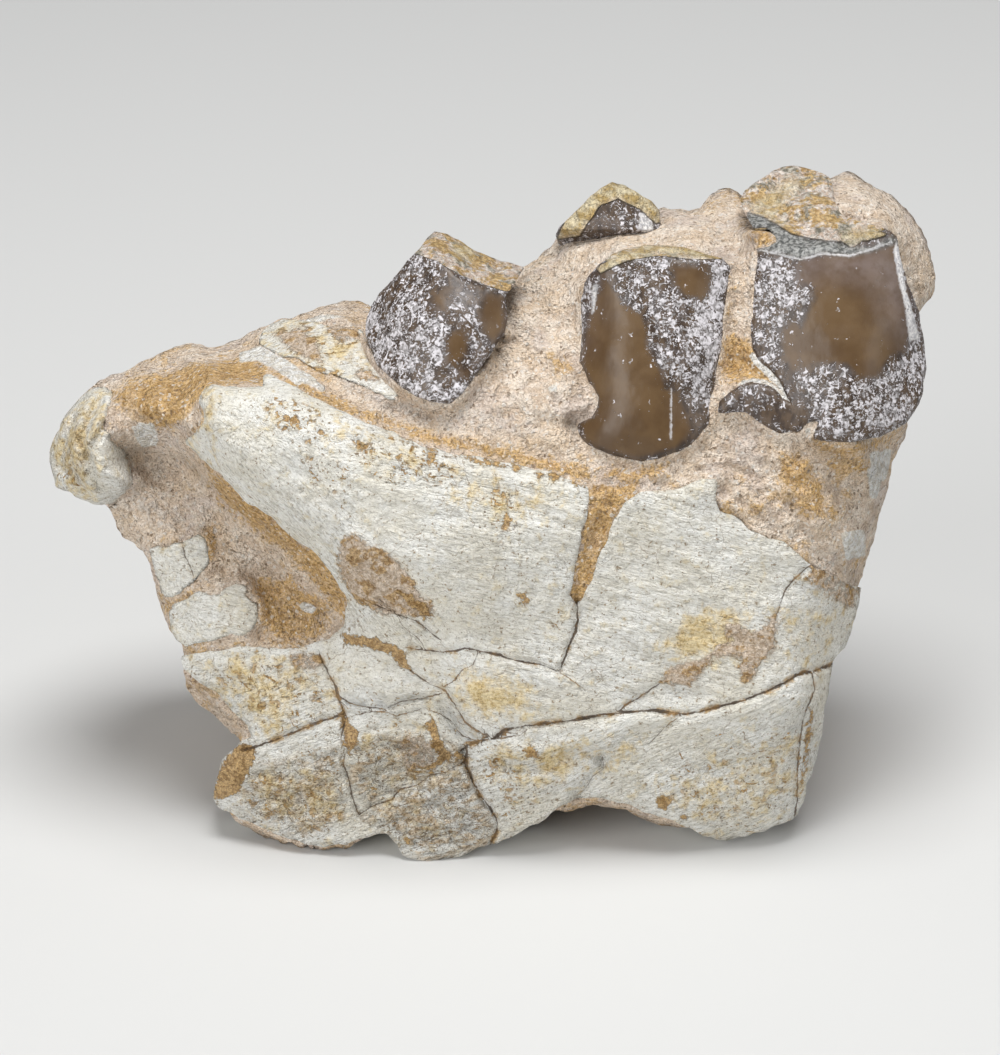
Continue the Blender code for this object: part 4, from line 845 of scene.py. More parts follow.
def matrix_front(px, py):
    """The matrix as seen from the front: lumps, stains that stand proud, and crumbs of bone."""
    front = block_depth(px, py) + 0.5 + rim_round(edge_distance(px, py, BLOCK_OUTLINE), 3.0)
    front = front + relief(on_plane(px, py), MATRIX_WAVES) - line_relief(px, py, MATRIX_LUMPS)
    rust = patch_field(px, py, MATRIX_PATCHES["rust"], 8.0)
    bone = patch_field(px, py, MATRIX_PATCHES["bone"], 4.0)
    return front - 0.25 * rust - 0.6 * bone


def bone_front(outline, raised, radius):
    """The front of a piece of bone, raised over the block: cracks, folds, sand, pits and thin sheets."""
    def front(px, py):
        place = on_plane(px, py)
        depth = block_depth(px, py) - raised + rim_round(edge_distance(px, py, outline), radius)
        cut, nearest = crack_fields(px, py)
        depth = depth + cut + 0.2 * np.exp(-np.maximum(nearest, 0.0) / 0.8) + line_relief(px, py, FOLDS)
        sand = patch_field(px, py, BONE_PATCHES["sand"], 3.0)
        pores = patch_field(px, py, BONE_PATCHES["pores"], 10.0)
        spongy = patch_field(px, py, BONE_PATCHES["spongy"], 12.0)
        depth = depth - 0.35 * sand * (0.7 + 0.5 * layered_noise(place, 2.0, 61))
        fibres = np.stack([px + 0.3 * py, (py - 0.3 * px) * 3.0, px * 0.0], axis=1) * UNIT_MM
        depth = depth + relief(fibres, FIBRE_WAVES) + relief(place, BONE_WAVES)
        pits = np.clip(layered_noise(place, 1.3, 67, 2) - 0.35, 0.0, 1.0)
        sheets = np.round(SHEET_LEVELS * layered_noise(fibres, 6.0, 73, 3, 0.6)) / SHEET_LEVELS
        depth = depth + (0.12 + 0.6 * pores) * pits + (0.18 + 0.3 * spongy) * sheets
        depth = depth + 0.5 * spongy * layered_noise(place, 2.2, 75, 3, 0.6)
        for deeper, piece in STEPS:
            depth = depth + deeper * patch_weight(px, py, piece, 2.5)
        return depth

    return front


def bone_back(px, py):
    """The back of the bone plate, which leans with the plate."""
    leaning = (py - 490.0) * 0.0535 - 9.0 + 5.0 * np.clip((330.0 - px) / 200.0, 0.0, 1.0)
    return leaning + BONE_MM + relief(on_plane(px, py), BONE_BACK_WAVES)


def thin_back(outline, thickness, radius):
    """The back of a thin piece of bone, a thickness behind the block's face."""
    def back(px, py):
        return block_depth(px, py) + thickness - rim_round(edge_distance(px, py, outline), radius)

    return back


def tooth_back(outline, y, radius):
    """The upright back of a crown at a y in mm."""
    def back(px, py):
        return depth_at_back(py, y) - rim_round(edge_distance(px, py, outline), radius)

    return back


def matrix_back(px, py):
    """The back, upright and lumpy, and under it the broken bottom with its flat spot."""
    wall = depth_at_back(py, np.interp(py, [200.0, 700.0], [BACK_HIGH_MM, BACK_LOW_MM]))
    across = (px - CENTRE_PX) * UNIT_MM
    height = (CENTRE_PY - py) * UNIT_MM - 0.5 * wall
    wall = wall + relief(np.stack([across, height, across * 0.0], axis=1), MATRIX_BACK_WAVES)
    wall = wall - 5.0 * ((px - 520.0) / 420.0) ** 2 - rim_round(edge_distance(px, py, BLOCK_OUTLINE), 8.0)
    spot = row_frame(px, py, depth_at_height(py, 0.0))
    away = np.hypot(spot[:, 0] / REST_HALF_X, spot[:, 1] / REST_HALF_Y) - 1.0
    broken = np.clip(away, 0.0, 1.0) * (2.0 + 1.2 * lattice_noise(spot, 7.0, 31))
    broken = broken + np.clip(away * 4.0, 0.0, 1.0) * 0.3 * (1.0 + layered_noise(spot, 2.4, 33, 3, 0.6))
    return np.minimum(wall, depth_at_height(py, broken - REST_SUNK_MM))


def chewed_top(*corners, climb=0.0):
    """A worn top through corners of (px, height in mm), which climbs towards the back."""
    places, heights = zip(*corners)

    def chewed(px, py):
        behind = np.clip(CROWN_EDGE_PY - py, 0.0, 90.0)
        return depth_at_height(py, np.interp(px, places, heights) + climb * behind)

    return chewed


left_tooth_chewed = chewed_top((437.0, 86.6), (506.0, 82.8))
middle_tooth_chewed = chewed_top((600.0, 87.6), (660.0, 88.4), (725.0, 87.4))
inner_cusp_chewed = chewed_top((512.0, 88.5), (CUSP_TIP_PX, 91.5), (712.0, 88.5))
right_tooth_slope = chewed_top((757.0, 89.0), (845.0, 89.4), (893.0, 91.0), climb=0.045)


def right_tooth_chewed(px, py):
    return right_tooth_slope(px, py) + layered_noise(on_plane(px, py), 5.0, 41, 2)


def inner_cusp_depth(px, py):
    """The face of the low inner cusp: bent round its tip, and deeper under its foot."""
    under = 0.3 * np.clip(py - 230.0, 0.0, 40.0)
    return 1.0 - 0.03 * (py - 235.0) + 0.0012 * (px - CUSP_TIP_PX) ** 2 + under


def tooth_front(face, chewed, outline, radius):
    """An enamel face with worn top, slightly wavy and chipped along the crown's edge."""
    def front(px, py):
        place = on_plane(px, py)
        top = chewed(px, py) + relief(place, CHEWED_WAVES)
        edge = smooth_max(face(px, py) + relief(place, ENAMEL_WAVES), top, 0.5)
        return edge + rim_round(edge_distance(px, py, outline), radius)

    return front


def drawn_in(px, py, share, taper, centre):
    """Draws the outline in towards the back, so that the front alone makes the silhouette."""
    inwards = taper * np.clip((share - 0.25) / 0.75, 0.0, 1.0) ** 1.4
    return px - (px - centre[0]) * inwards, py - (py - centre[1]) * inwards


def ragged_edge(px, py, outline, amount):
    """Moves points near an outline a little, so that broken edges aren't straight."""
    place = on_plane(px, py)
    fade = np.exp(-edge_distance(px, py, outline) / 1.5) * amount / UNIT_MM
    return tuple(p + fade * layered_noise(place, 3.4, seed, 3, 0.6) for p, seed in ((px, 81), (py, 83)))


def nearest_on(points, outline):
    """The nearest place on a closed outline to each point."""
    start = np.array(outline, float)
    along = np.roll(start, -1, axis=0) - start
    best = np.full(len(points), 1e18)
    place = points.copy()
    for a, b in zip(start, along):
        share = np.clip(((points - a) @ b) / max(b @ b, 1e-9), 0.0, 1.0)
        there = a + share[:, None] * b
        squared = ((points - there) ** 2).sum(axis=1)
        closer = squared < best
        best[closer] = squared[closer]
        place[closer] = there[closer]
    return place


def grid_in(outline, step):
    """A square grid inside an outline: its points, its squares, and its edge as ordered pairs."""
    outline = np.array(outline, float)
    low = outline.min(axis=0) - step * 0.37
    counts = np.ceil((outline.max(axis=0) - low) / step).astype(int) + 1
    across, down = np.meshgrid(np.arange(counts[0]), np.arange(counts[1]))
    points = low + np.stack([across.ravel(), down.ravel()], axis=1) * step
    good = inside(points[:, 0], points[:, 1], outline).reshape(counts[1], counts[0])
    whole = good[:-1, :-1] & good[1:, :-1] & good[:-1, 1:] & good[1:, 1:]
    number = np.arange(counts[0] * counts[1]).reshape(counts[1], counts[0])
    rows, columns = np.nonzero(whole)
    corners = ((0, 0), (1, 0), (1, 1), (0, 1))
    quads = np.stack([number[rows + down, columns + right] for down, right in corners], axis=1)
    used, index = np.unique(quads, return_inverse=True)
    quads = index.reshape(-1, 4)
    points = points[used]
    ends = np.concatenate([quads[:, [i, (i + 1) % 4]] for i in range(4)])
    width = len(points)
    forward = set((ends[:, 0] * width + ends[:, 1]).tolist())
    rim = np.array([pair for pair in ends if pair[1] * width + pair[0] not in forward])
    edge = np.unique(rim)
    snapped = nearest_on(points[edge], outline)
    move = np.hypot(*(snapped - points[edge]).T) < step * 1.6
    points[edge[move]] = snapped[move]
    return points, quads, rim


def new_object(name, data):
    """An object in the scene."""
    body = bpy.data.objects.new(name, data)
    bpy.context.scene.collection.objects.link(body)
    return body


def new_mesh(name, places, faces):
    """A mesh object from points in mm and quads or triangles."""
    mesh = bpy.data.meshes.new(name)
    mesh.vertices.add(len(places))
    mesh.vertices.foreach_set("co", (places * 0.001).ravel())
    sizes = [face.shape[1] for face in faces for _ in range(len(face))]
    corners = np.concatenate([face.ravel() for face in faces])
    mesh.loops.add(len(corners))
    mesh.loops.foreach_set("vertex_index", corners.astype(np.int32))
    mesh.polygons.add(len(sizes))
    starts = np.concatenate([[0], np.cumsum(sizes)[:-1]])
    mesh.polygons.foreach_set("loop_start", starts.astype(np.int32))
    mesh.polygons.foreach_set("use_smooth", np.ones(len(sizes), bool))
    mesh.update(calc_edges=True)
    mesh.validate()
    return new_object(name, mesh)


def flat_fill(px, py, pairs):
    """Triangles that close a loop as seen from the front, as numbers of its points."""
    spots = [(float(x), float(-y)) for x, y in zip(px, py)]
    made = delaunay_2d_cdt(spots, [tuple(map(int, pair)) for pair in pairs], [], 1, 1e-6)
    first = [origin[0] if origin else 0 for origin in made[3]]
    return np.array([[first[v] for v in face] for face in made[2] if len(face) == 3])


def pillow(name, outline, step, front, back, rows, taper=0.0, ragged=0.3, span=(0.0, 1.0)):
    """A closed body between a front and a back depth inside an outline, or the slice of it that span
    gives. It returns the object, and px, py and the share of the depth for each point."""
    points, quads, rim = grid_in(outline, step)
    px, py = ragged_edge(points[:, 0], points[:, 1], outline, ragged)
    centre = 0.5 * (np.min(outline, axis=0) + np.max(outline, axis=0))
    near = front(px, py)
    edge, index = np.unique(rim, return_inverse=True)
    pairs = index.reshape(-1, 2)
    fill = flat_fill(points[edge, 0], points[edge, 1], pairs)
    layers = []
    faces = []

    def wall_ring(share):
        ex, ey = drawn_in(px[edge], py[edge], share, taper, centre)
        far = np.maximum(back(ex, ey), near[edge] + THINNEST_MM)
        depth = near[edge] + (far - near[edge]) * share
        spot = row_frame(ex, ey, depth)
        inward = (0.5 + 0.5 * layered_noise(spot, 5.0, 91, 4, 0.6)) * ragged * 2.2 / UNIT_MM
        inward = inward * min(1.0, share * 10.0, (1.0 - share) * 10.0)
        toward = np.stack([centre[0] - ex, centre[1] - ey], axis=1)
        toward /= np.maximum(np.hypot(*toward.T), 1e-6)[:, None]
        return ex + toward[:, 0] * inward, ey + toward[:, 1] * inward, depth, np.full(len(edge), share)

    def strip(last, new):
        """Quads from the last ring to pairs of new points."""
        return np.stack([last[pairs[:, 1]], last[pairs[:, 0]], new[:, 0], new[:, 1]], axis=1)

    if span[0] == 0.0:
        layers.append((px, py, near, np.zeros(len(px))))
        faces.append(quads)
        last = edge
    else:
        layers.append(wall_ring(span[0]))
        faces.append(fill)
        last = np.arange(len(edge))
    total = len(layers[0][0])
    for row in range(1, rows + (span[1] < 1.0)):
        layers.append(wall_ring(span[0] + (span[1] - span[0]) * row / rows))
        ring = np.arange(total, total + len(edge))
        faces.append(strip(last, ring[pairs]))
        last = ring
        total += len(edge)
    if span[1] < 1.0:
        faces.append(last[fill][:, ::-1])
    else:
        bx, by = drawn_in(px, py, 1.0, taper, centre)
        layers.append((bx, by, np.maximum(back(bx, by), near + THINNEST_MM), np.ones(len(px))))
        sheet = np.arange(total, total + len(px))
        faces += [strip(last, sheet[rim]), sheet[quads][:, ::-1]]
    px, py, depth, share = (np.concatenate(column) for column in zip(*layers))
    places = row_frame(px, py, depth)
    places[:, 2] = np.maximum(places[:, 2], 0.0)
    return new_mesh(name, places, faces), px, py, share


def set_field(body, name, values):
    """Stores a value for each point, which the materials read by its name."""
    made = body.data.attributes.new(name, "FLOAT", "POINT")
    made.data.foreach_set("value", np.asarray(values, np.float32))


def sunk_under(front, covers):
    """A matrix front that stays behind the pieces that lie on it."""
    def sunk(px, py):
        depth = front(px, py)
        for outline, cover, margin in covers:
            near = near_box(px, py, outline, 0.0)
            near[near] = inside(px[near], py[near], outline)
            if not near.any():
                continue
            weight = np.clip(edge_distance(px[near], py[near], outline) / 0.7 - 0.3, 0.0, 1.0)
            deeper = np.maximum(depth[near], cover(px[near], py[near]) + margin)
            depth[near] += (deeper - depth[near]) * weight
        return depth

    return sunk


def banked_up(front, banks):
    """A matrix front that rises or falls to meet bone and teeth where it comes close to them."""
    def banked(px, py):
        depth = front(px, py)
        for outline, face, gap, reach in banks:
            near = near_box(px, py, outline, BANK_REACH_PX)
            if not near.any():
                continue
            there = edge_distance(px[near], py[near], outline)
            there[inside(px[near], py[near], outline)] = 0.0
            level = face(px[near], py[near]) + gap
            close = np.clip((5.5 - np.abs(level - depth[near])) / 2.0, 0.0, 1.0)
            weight = np.exp(-((there / reach) ** 2)) * close
            depth[near] += (level - depth[near]) * weight
        return depth

    return banked


def crack_lines(px, py):
    """(Signed distance to the nearest crack, its half width nearby) in mm, for a sharp drawn line."""
    signed = np.full(len(px), FAR_MM)
    width = np.zeros(len(px))
    for half_width, _, points in CRACKS:
        for (ax, ay), (bx, by) in zip(points, points[1:]):
            near = np.nonzero(near_box(px, py, [(ax, ay), (bx, by)], LINE_REACH_PX))[0]
            dx, dy = px[near] - ax, py[near] - ay
            bx, by = bx - ax, by - ay
            share = np.clip((dx * bx + dy * by) / (bx * bx + by * by), 0.0, 1.0)
            away = np.hypot(dx - share * bx, dy - share * by) * UNIT_MM
            side = np.where(dx * by - dy * bx > 0.0, 1.0, -1.0)
            closer = away < np.abs(signed[near])
            signed[near[closer]] = (side * away)[closer]
            width[near[closer]] = half_width
    return signed, 0.7 * width * np.clip((1.1 - np.abs(signed)) / 0.4, 0.0, 1.0)


def new_material(name, slot_rough, slot_specular):
    """A material, its node tree and its shader, with what stays the same all over the surface."""
    material = bpy.data.materials.new(name)
    material.use_nodes = True
    tree = material.node_tree
    shader = tree.nodes["Principled BSDF"]
    shader.inputs["Roughness"].default_value = slot_rough
    shader.inputs["Specular IOR Level"].default_value = slot_specular
    return material, tree, shader


def is_socket(value):
    """Whether a value comes from a node and isn't a plain number or colour."""
    return isinstance(value, bpy.types.NodeSocket)


def feed(target, value):
    """Links a socket, or sets a plain value."""
    if is_socket(value):
        target.id_data.links.new(value, target)
    elif isinstance(value, tuple) and target.type == "RGBA":
        target.default_value = (*value, 1.0)
    else:
        target.default_value = value


def calc(operation, *values):
    """A sum on sockets and plain numbers, made in the node tree that the first socket is in."""
    tree = next(value for value in values if is_socket(value)).id_data
    made = tree.nodes.new("ShaderNodeMath")
    made.operation = operation
    for target, value in zip(made.inputs, values):
        feed(target, value)
    return made.outputs[0]


def times(*values):
    total = values[0]
    for value in values[1:]:
        total = calc("MULTIPLY", total, value)
    return total


def plus(*values):
    total = values[0]
    for value in values[1:]:
        total = calc("ADD", total, value)
    return total


def swing(value, amount):
    """Noise from 0 to 1 as a swing to both sides of zero."""
    return times(calc("SUBTRACT", value, 0.5), amount)


def between(share, a, b):
    """a where the share is 0 and b where it is 1."""
    return calc("MULTIPLY_ADD", calc("SUBTRACT", b, a), share, a)


def place_in_mm(tree, turn=0.0, stretch=(1.0, 1.0, 1.0)):
    """Object coordinates in mm, turned about Y by degrees and stretched."""
    coordinates = tree.nodes.new("ShaderNodeTexCoord")
    turned = tree.nodes.new("ShaderNodeVectorRotate")
    turned.rotation_type = "Y_AXIS"
    feed(turned.inputs["Vector"], coordinates.outputs["Object"])
    feed(turned.inputs["Angle"], math.radians(turn))
    scaled = tree.nodes.new("ShaderNodeVectorMath")
    scaled.operation = "MULTIPLY"
    feed(scaled.inputs[0], turned.outputs[0])
    scaled.inputs[1].default_value = tuple(1000.0 / share for share in stretch)
    return scaled.outputs[0]


def noise_node(place, size, detail=3.0, rough=0.5, distort=0.0):
    """A noise texture of a size in mm."""
    made = place.id_data.nodes.new("ShaderNodeTexNoise")
    given = (place, 1.0 / size, detail, rough, distort)
    for name, value in zip(("Vector", "Scale", "Detail", "Roughness", "Distortion"), given):
        feed(made.inputs[name], value)
    return made


def noise(place, size, detail=3.0, rough=0.55, distort=0.0):
    return noise_node(place, size, detail, rough, distort).outputs["Fac"]


def shifted(place, size, amount):
    """Places pushed about by noise of a size in mm."""
    made = place.id_data.nodes.new("ShaderNodeVectorMath")
    made.operation = "MULTIPLY_ADD"
    feed(made.inputs[0], noise_node(place, size).outputs["Color"])
    made.inputs[1].default_value = (amount, amount, amount)
    feed(made.inputs[2], place)
    return made.outputs[0]


def cells(place, size, feature="F1", output="Distance"):
    """Irregular cells of a size in mm."""
    made = place.id_data.nodes.new("ShaderNodeTexVoronoi")
    made.feature = feature
    feed(made.inputs["Vector"], place)
    feed(made.inputs["Scale"], 1.0 / size)
    return made.outputs[output]


def cell_numbers(place, size):
    """Three random numbers from 0 to 1 for each cell."""
    split = place.id_data.nodes.new("ShaderNodeSeparateColor")
    feed(split.inputs[0], cells(place, size, "F1", "Color"))
    return split.outputs


def rise(value, low, high):
    """0 below low, 1 above high, smooth between."""
    made = value.id_data.nodes.new("ShaderNodeMapRange")
    made.interpolation_type = "SMOOTHSTEP"
    feed(made.inputs["Value"], value)
    feed(made.inputs["From Min"], low)
    feed(made.inputs["From Max"], high)
    return made.outputs["Result"]


def fall_off(value, low, high):
    """1 below low, 0 above high, smooth between."""
    return calc("SUBTRACT", 1.0, rise(value, low, high))


def blend(factor, a, b):
    made = factor.id_data.nodes.new("ShaderNodeMix")
    made.data_type = "RGBA"
    for target, value in zip((made.inputs[0], made.inputs[6], made.inputs[7]), (factor, a, b)):
        feed(target, value)
    return made.outputs[2]


def mottled(value, low, high, a, b):
    """Colour a below low, colour b above high."""
    return blend(rise(value, low, high), a, b)


def laid_over(colour, *layers):
    """A colour under layers of (mask, strength, colour)."""
    for mask, strength, layer in layers:
        colour = blend(times(mask, strength), colour, layer)
    return colour


def attribute(tree, name):
    """A field that set_field has stored on the mesh."""
    made = tree.nodes.new("ShaderNodeAttribute")
    made.attribute_name = name
    return made.outputs["Fac"]


def patch_mask(name, uneven, spread, sharp):
    """A patch with an irregular edge, from a stored field and some noise."""
    return rise(plus(attribute(uneven.id_data, name), swing(uneven, spread)), 0.5 - sharp, 0.5 + sharp)


def bump(shader, height):
    """Height in mm."""
    made = height.id_data.nodes.new("ShaderNodeBump")
    feed(made.inputs["Distance"], 0.001)
    feed(made.inputs["Strength"], 1.0)
    feed(made.inputs["Height"], height)
    feed(shader.inputs["Normal"], made.outputs["Normal"])


def grain(tree, size):
    """Fibres of the bone, which run another way in the left ridge and in the lower pieces."""
    turns = (-16.0, -42.0, 24.0)
    level, steep, rising = (
        noise(place_in_mm(tree, turn, (4.5, 1.0, 1.0)), size, 3.0, 0.65) for turn in turns
    )
    return between(attribute(tree, "rising"), between(attribute(tree, "steep"), level, steep), rising)


def wavy_lines(place, size, width):
    """1 on thin lines that wind about."""
    value = noise(place, size, 3.0, 0.6, 0.8)
    return fall_off(calc("ABSOLUTE", calc("SUBTRACT", value, 0.5)), 0.0, width)


def dots(place, size, radius, share):
    """1 in round dots of a radius in mm, in a share of the cells of a size."""
    chosen = fall_off(cell_numbers(place, size)[0], share, share + 0.02)
    reach = radius / size
    return times(fall_off(cells(place, size), 0.5 * reach, reach), chosen)


def ledges(place, size):
    """Levels of a surface that has come off in thin sheets, from 0 to 3."""
    value = noise(place, size, 4.0, 0.62)
    return plus(*(rise(value, low, low + 0.012) for low in (0.44, 0.51, 0.58)))


def bone_material():
    """Off-white bone with fibres, pits, stains, left matrix and drawn cracks."""
    material, tree, shader = new_material("fossil_bone", 0.8, 0.25)
    place = place_in_mm(tree)
    broad = noise(place, 8.0, 4.0)
    middle = noise(place, 2.2, 4.0, 0.65)
    fine = noise(place, 0.7, 3.0, 0.7)
    tiny = noise(place, 0.28, 2.0, 0.6)
    uneven = plus(times(middle, 0.6), times(fine, 0.4))
    long_grain = grain(tree, 0.8)
    short_grain = grain(tree, 0.3)
    spongy = attribute(tree, "spongy")
    pores = attribute(tree, "pores")

    colour = laid_over(
        mottled(broad, 0.38, 0.62, (0.84, 0.83, 0.78), (0.77, 0.735, 0.64)),
        (rise(long_grain, 0.5, 0.64), 0.55, (0.62, 0.59, 0.51)),
        (rise(short_grain, 0.52, 0.64), 0.6, (0.46, 0.43, 0.37)),
        (fall_off(short_grain, 0.38, 0.47), 0.5, (0.92, 0.91, 0.87)),
        (rise(middle, 0.52, 0.68), 0.45, (0.68, 0.61, 0.45)),
        (rise(fine, 0.56, 0.66), 0.45, (0.52, 0.45, 0.34)),
    )
    ochre = rise(plus(attribute(tree, "ochre"), swing(middle, 2.6)), 0.2, 1.0)
    ochre_colour = mottled(fine, 0.42, 0.6, (0.86, 0.7, 0.4), (0.6, 0.42, 0.16))
    grey = times(attribute(tree, "grey"), rise(middle, 0.35, 0.6))
    rust_colour = mottled(fine, 0.38, 0.6, (0.33, 0.18, 0.05), (0.68, 0.45, 0.2))
    rust_colour = laid_over(rust_colour, (rise(tiny, 0.5, 0.6), 0.6, (0.24, 0.13, 0.05)))
    crumbs = noise(place_in_mm(tree, 16.0, (1.8, 1.0, 1.0)), 1.5, 4.0, 0.65, 0.5)
    crumbly = rise(spongy, 0.1, 0.6)
    brown = times(crumbly, rise(crumbs, 0.46, 0.6))
    tan = mottled(fine, 0.4, 0.6, (0.76, 0.62, 0.44), (0.46, 0.3, 0.14))
    wrinkles = wavy_lines(place_in_mm(tree, 14.0, (2.4, 1.0, 1.0)), 1.9, 0.02)
    wrinkles = times(wrinkles, rise(spongy, 0.1, 0.5))
    dirt = rise(plus(fine, times(spongy, 0.05), times(pores, 0.03)), 0.62, 0.68)
    tiny_pits = rise(plus(tiny, times(spongy, 0.08), times(pores, 0.04)), 0.68, 0.72)
    clumps = swing(noise(place, 3.5, 2.0), 0.35)
    blot_level = plus(0.73, times(pores, -0.19), times(clumps, -1.0))
    blot_noise = noise(place_in_mm(tree, -25.0, (1.5, 1.0, 1.0)), 1.15, 4.0, 0.62, 0.8)
    blots = rise(calc("SUBTRACT", blot_noise, blot_level), 0.0, 0.03)
    blots = times(blots, fall_off(attribute(tree, "clean"), 0.2, 0.8))
    blobs = times(dots(shifted(place, 1.1, 3.2), 1.9, 0.85, 0.55), rise(pores, 0.25, 0.6))
    blobs = times(blobs, rise(noise(place, 4.0, 2.0), 0.4, 0.46))
    specks = times(dots(place, 0.9, 0.22, 0.4), rise(plus(pores, times(broad, 0.5)), 0.3, 0.7))
    colour = laid_over(
        colour,
        (ochre, 0.85, ochre_colour),
        (grey, 1.0, (0.36, 0.38, 0.4)),
        (brown, 0.8, tan),
        (wrinkles, 0.6, (0.26, 0.175, 0.1)),
        (dirt, 0.85, (0.3, 0.23, 0.15)),
        (tiny_pits, 0.85, (0.22, 0.16, 0.1)),
        (blots, 0.92, rust_colour),
        (blobs, 0.9, rust_colour),
        (specks, 0.8, (0.2, 0.15, 0.09)),
    )

    sand = patch_mask("sand", uneven, 1.9, 0.05)
    sand_seam = times(patch_mask("sand", uneven, 1.9, 0.3), fall_off(sand, 0.0, 1.0))
    sand_colour = laid_over(
        mottled(fine, 0.4, 0.6, (0.54, 0.41, 0.29), (0.84, 0.71, 0.58)),
        (rise(tiny, 0.5, 0.6), 0.4, (0.36, 0.26, 0.17)),
        (rise(middle, 0.5, 0.6), 0.8, rust_colour),
    )
    rust = patch_mask("rust", uneven, 1.9, 0.08)
    wander = swing(noise(place, 1.1, 4.0, 0.65), 0.6)
    away = calc("ABSOLUTE", plus(attribute(tree, "crack"), wander))
    width = attribute(tree, "crack_width")
    open_width = times(width, rise(noise(place, 2.4, 3.0), 0.25, 0.75), 1.6)
    open_part = calc("SUBTRACT", away, open_width)
    crack = times(fall_off(open_part, -0.04, 0.06), rise(width, 0.01, 0.05))
    fringe = times(fall_off(open_part, 0.0, 0.55), rise(width, 0.06, 0.16), rise(middle, 0.46, 0.6))
    crack_colour = mottled(middle, 0.45, 0.6, (0.12, 0.08, 0.05), (0.32, 0.2, 0.09))
    hairs = cells(shifted(place, 4.0, 5.0), 13.0, "DISTANCE_TO_EDGE")
    hair = times(fall_off(hairs, 0.001, 0.006), rise(noise(place, 6.0, 2.0), 0.45, 0.56))
    colour = laid_over(
        colour,
        (sand_seam, 0.75, rust_colour),
        (sand, 1.0, sand_colour),
        (rust, 0.92, rust_colour),
        (fringe, 0.8, rust_colour),
        (crack, 0.88, crack_colour),
        (hair, 0.55, (0.3, 0.23, 0.16)),
    )

    sheets = ledges(place_in_mm(tree, 6.0, (2.2, 1.0, 1.0)), 4.2)
    height = plus(
        times(sheets, plus(0.1, times(crumbly, 0.15))),
        times(long_grain, 1.1),
        times(long_grain, attribute(tree, "rising"), 0.5),
        times(short_grain, 0.3),
        times(fine, 0.4),
        times(crumbs, crumbly, 1.8),
        times(tiny, 0.06),
        middle,
        times(blots, -0.25),
        times(blobs, -0.35),
        times(wrinkles, -0.25),
        times(sand, fine, 0.7),
        times(rust, fine, 0.5),
        times(spongy, fine, 0.7),
    )
    bump(shader, height)
    feed(shader.inputs["Base Color"], colour)
    feed(shader.inputs["Roughness"], plus(0.72, times(fine, 0.25)))
    return material


def matrix_material():
    """Sandy, pinkish matrix of grains and crusts, with iron stains and crumbs of bone."""
    material, tree, shader = new_material("sandy_matrix", 0.95, 0.15)
    place = place_in_mm(tree)
    broad = noise(place, 11.0, 4.0, 0.6)
    middle = noise(place, 2.8, 4.0, 0.65)
    fine = noise(place, 0.85, 3.0, 0.7)
    grit = noise(place, 0.36, 2.0, 0.6)
    tint = noise(place, 6.0, 3.0, 0.6)
    uneven = plus(times(middle, 0.6), times(fine, 0.4))
    pale = attribute(tree, "pale")
    pale_grain, dark_grain = cell_numbers(place, 0.42)[:2]

    own_rust = times(rise(broad, 0.53, 0.6), rise(uneven, 0.47, 0.55), fall_off(pale, 0.2, 0.8), 0.8)
    rust = calc("MAXIMUM", patch_mask("rust", uneven, 2.8, 0.2), own_rust)
    rust_colour = mottled(fine, 0.38, 0.58, (0.42, 0.23, 0.06), (0.74, 0.47, 0.18))
    rust_colour = laid_over(rust_colour, (rise(middle, 0.52, 0.6), 0.4, (0.78, 0.56, 0.34)))
    grit_colour = blend(rust, (0.4, 0.3, 0.22), (0.27, 0.15, 0.05))
    lighter = times(fall_off(grit, 0.38, 0.47), plus(1.0, times(rust, -0.5)))
    grey_colour = mottled(fine, 0.4, 0.6, (0.34, 0.29, 0.26), (0.66, 0.6, 0.55))
    # Painted shade colour, for the trough, under the arch, beside the bone's edges and beside and under the
    # right tooth
    painted_shade_colour = mottled(fine, 0.4, 0.6, (0.14, 0.09, 0.05), (0.42, 0.3, 0.19))
    bone_colour = mottled(fine, 0.4, 0.6, (0.96, 0.95, 0.92), (0.76, 0.71, 0.62))
    cracks = times(wavy_lines(place, 3.2, 0.014), rise(noise(place, 5.0, 2.0), 0.44, 0.54))
    # Painted shade in the matrix's hollows: darker where the bump's middle noise is low, less on pale
    # matrix
    painted_hollow_shade = times(fall_off(middle, 0.36, 0.5), fall_off(pale, 0.2, 1.0))
    colour = laid_over(
        mottled(uneven, 0.4, 0.6, (0.76, 0.6, 0.455), (0.95, 0.83, 0.7)),
        (rise(tint, 0.52, 0.64), 0.5, (0.7, 0.6, 0.55)),
        (fall_off(tint, 0.36, 0.48), 0.5, (0.82, 0.62, 0.42)),
        (rust, 0.9, rust_colour),
        (rise(grit, 0.52, 0.62), plus(0.42, times(pale, -0.2)), grit_colour),
        (lighter, 0.4, (0.94, 0.86, 0.77)),
        (rise(pale_grain, 0.94, 0.97), 0.6, (0.92, 0.88, 0.82)),
        (rise(dark_grain, 0.95, 0.98), 0.7, (0.22, 0.15, 0.09)),
        (patch_mask("grey", uneven, 1.8, 0.2), 0.5, grey_colour),
        # Painted shade where the block shades itself
        (patch_mask("painted_shade", uneven, 1.8, 0.25), 0.55, painted_shade_colour),
        (patch_mask("bone", uneven, 1.0, 0.08), 1.0, bone_colour),
        (cracks, 0.6, (0.3, 0.2, 0.12)),
        # Painted shade in the hollows
        (painted_hollow_shade, 0.16, (0.36, 0.25, 0.16)),
    )
    crusts = times(ledges(place, 3.4), plus(0.24, times(pale, -0.14)))
    bump(shader, plus(crusts, times(middle, 2.6), times(fine, 1.2), times(grit, 0.24)))
    feed(shader.inputs["Base Color"], colour)
    return material


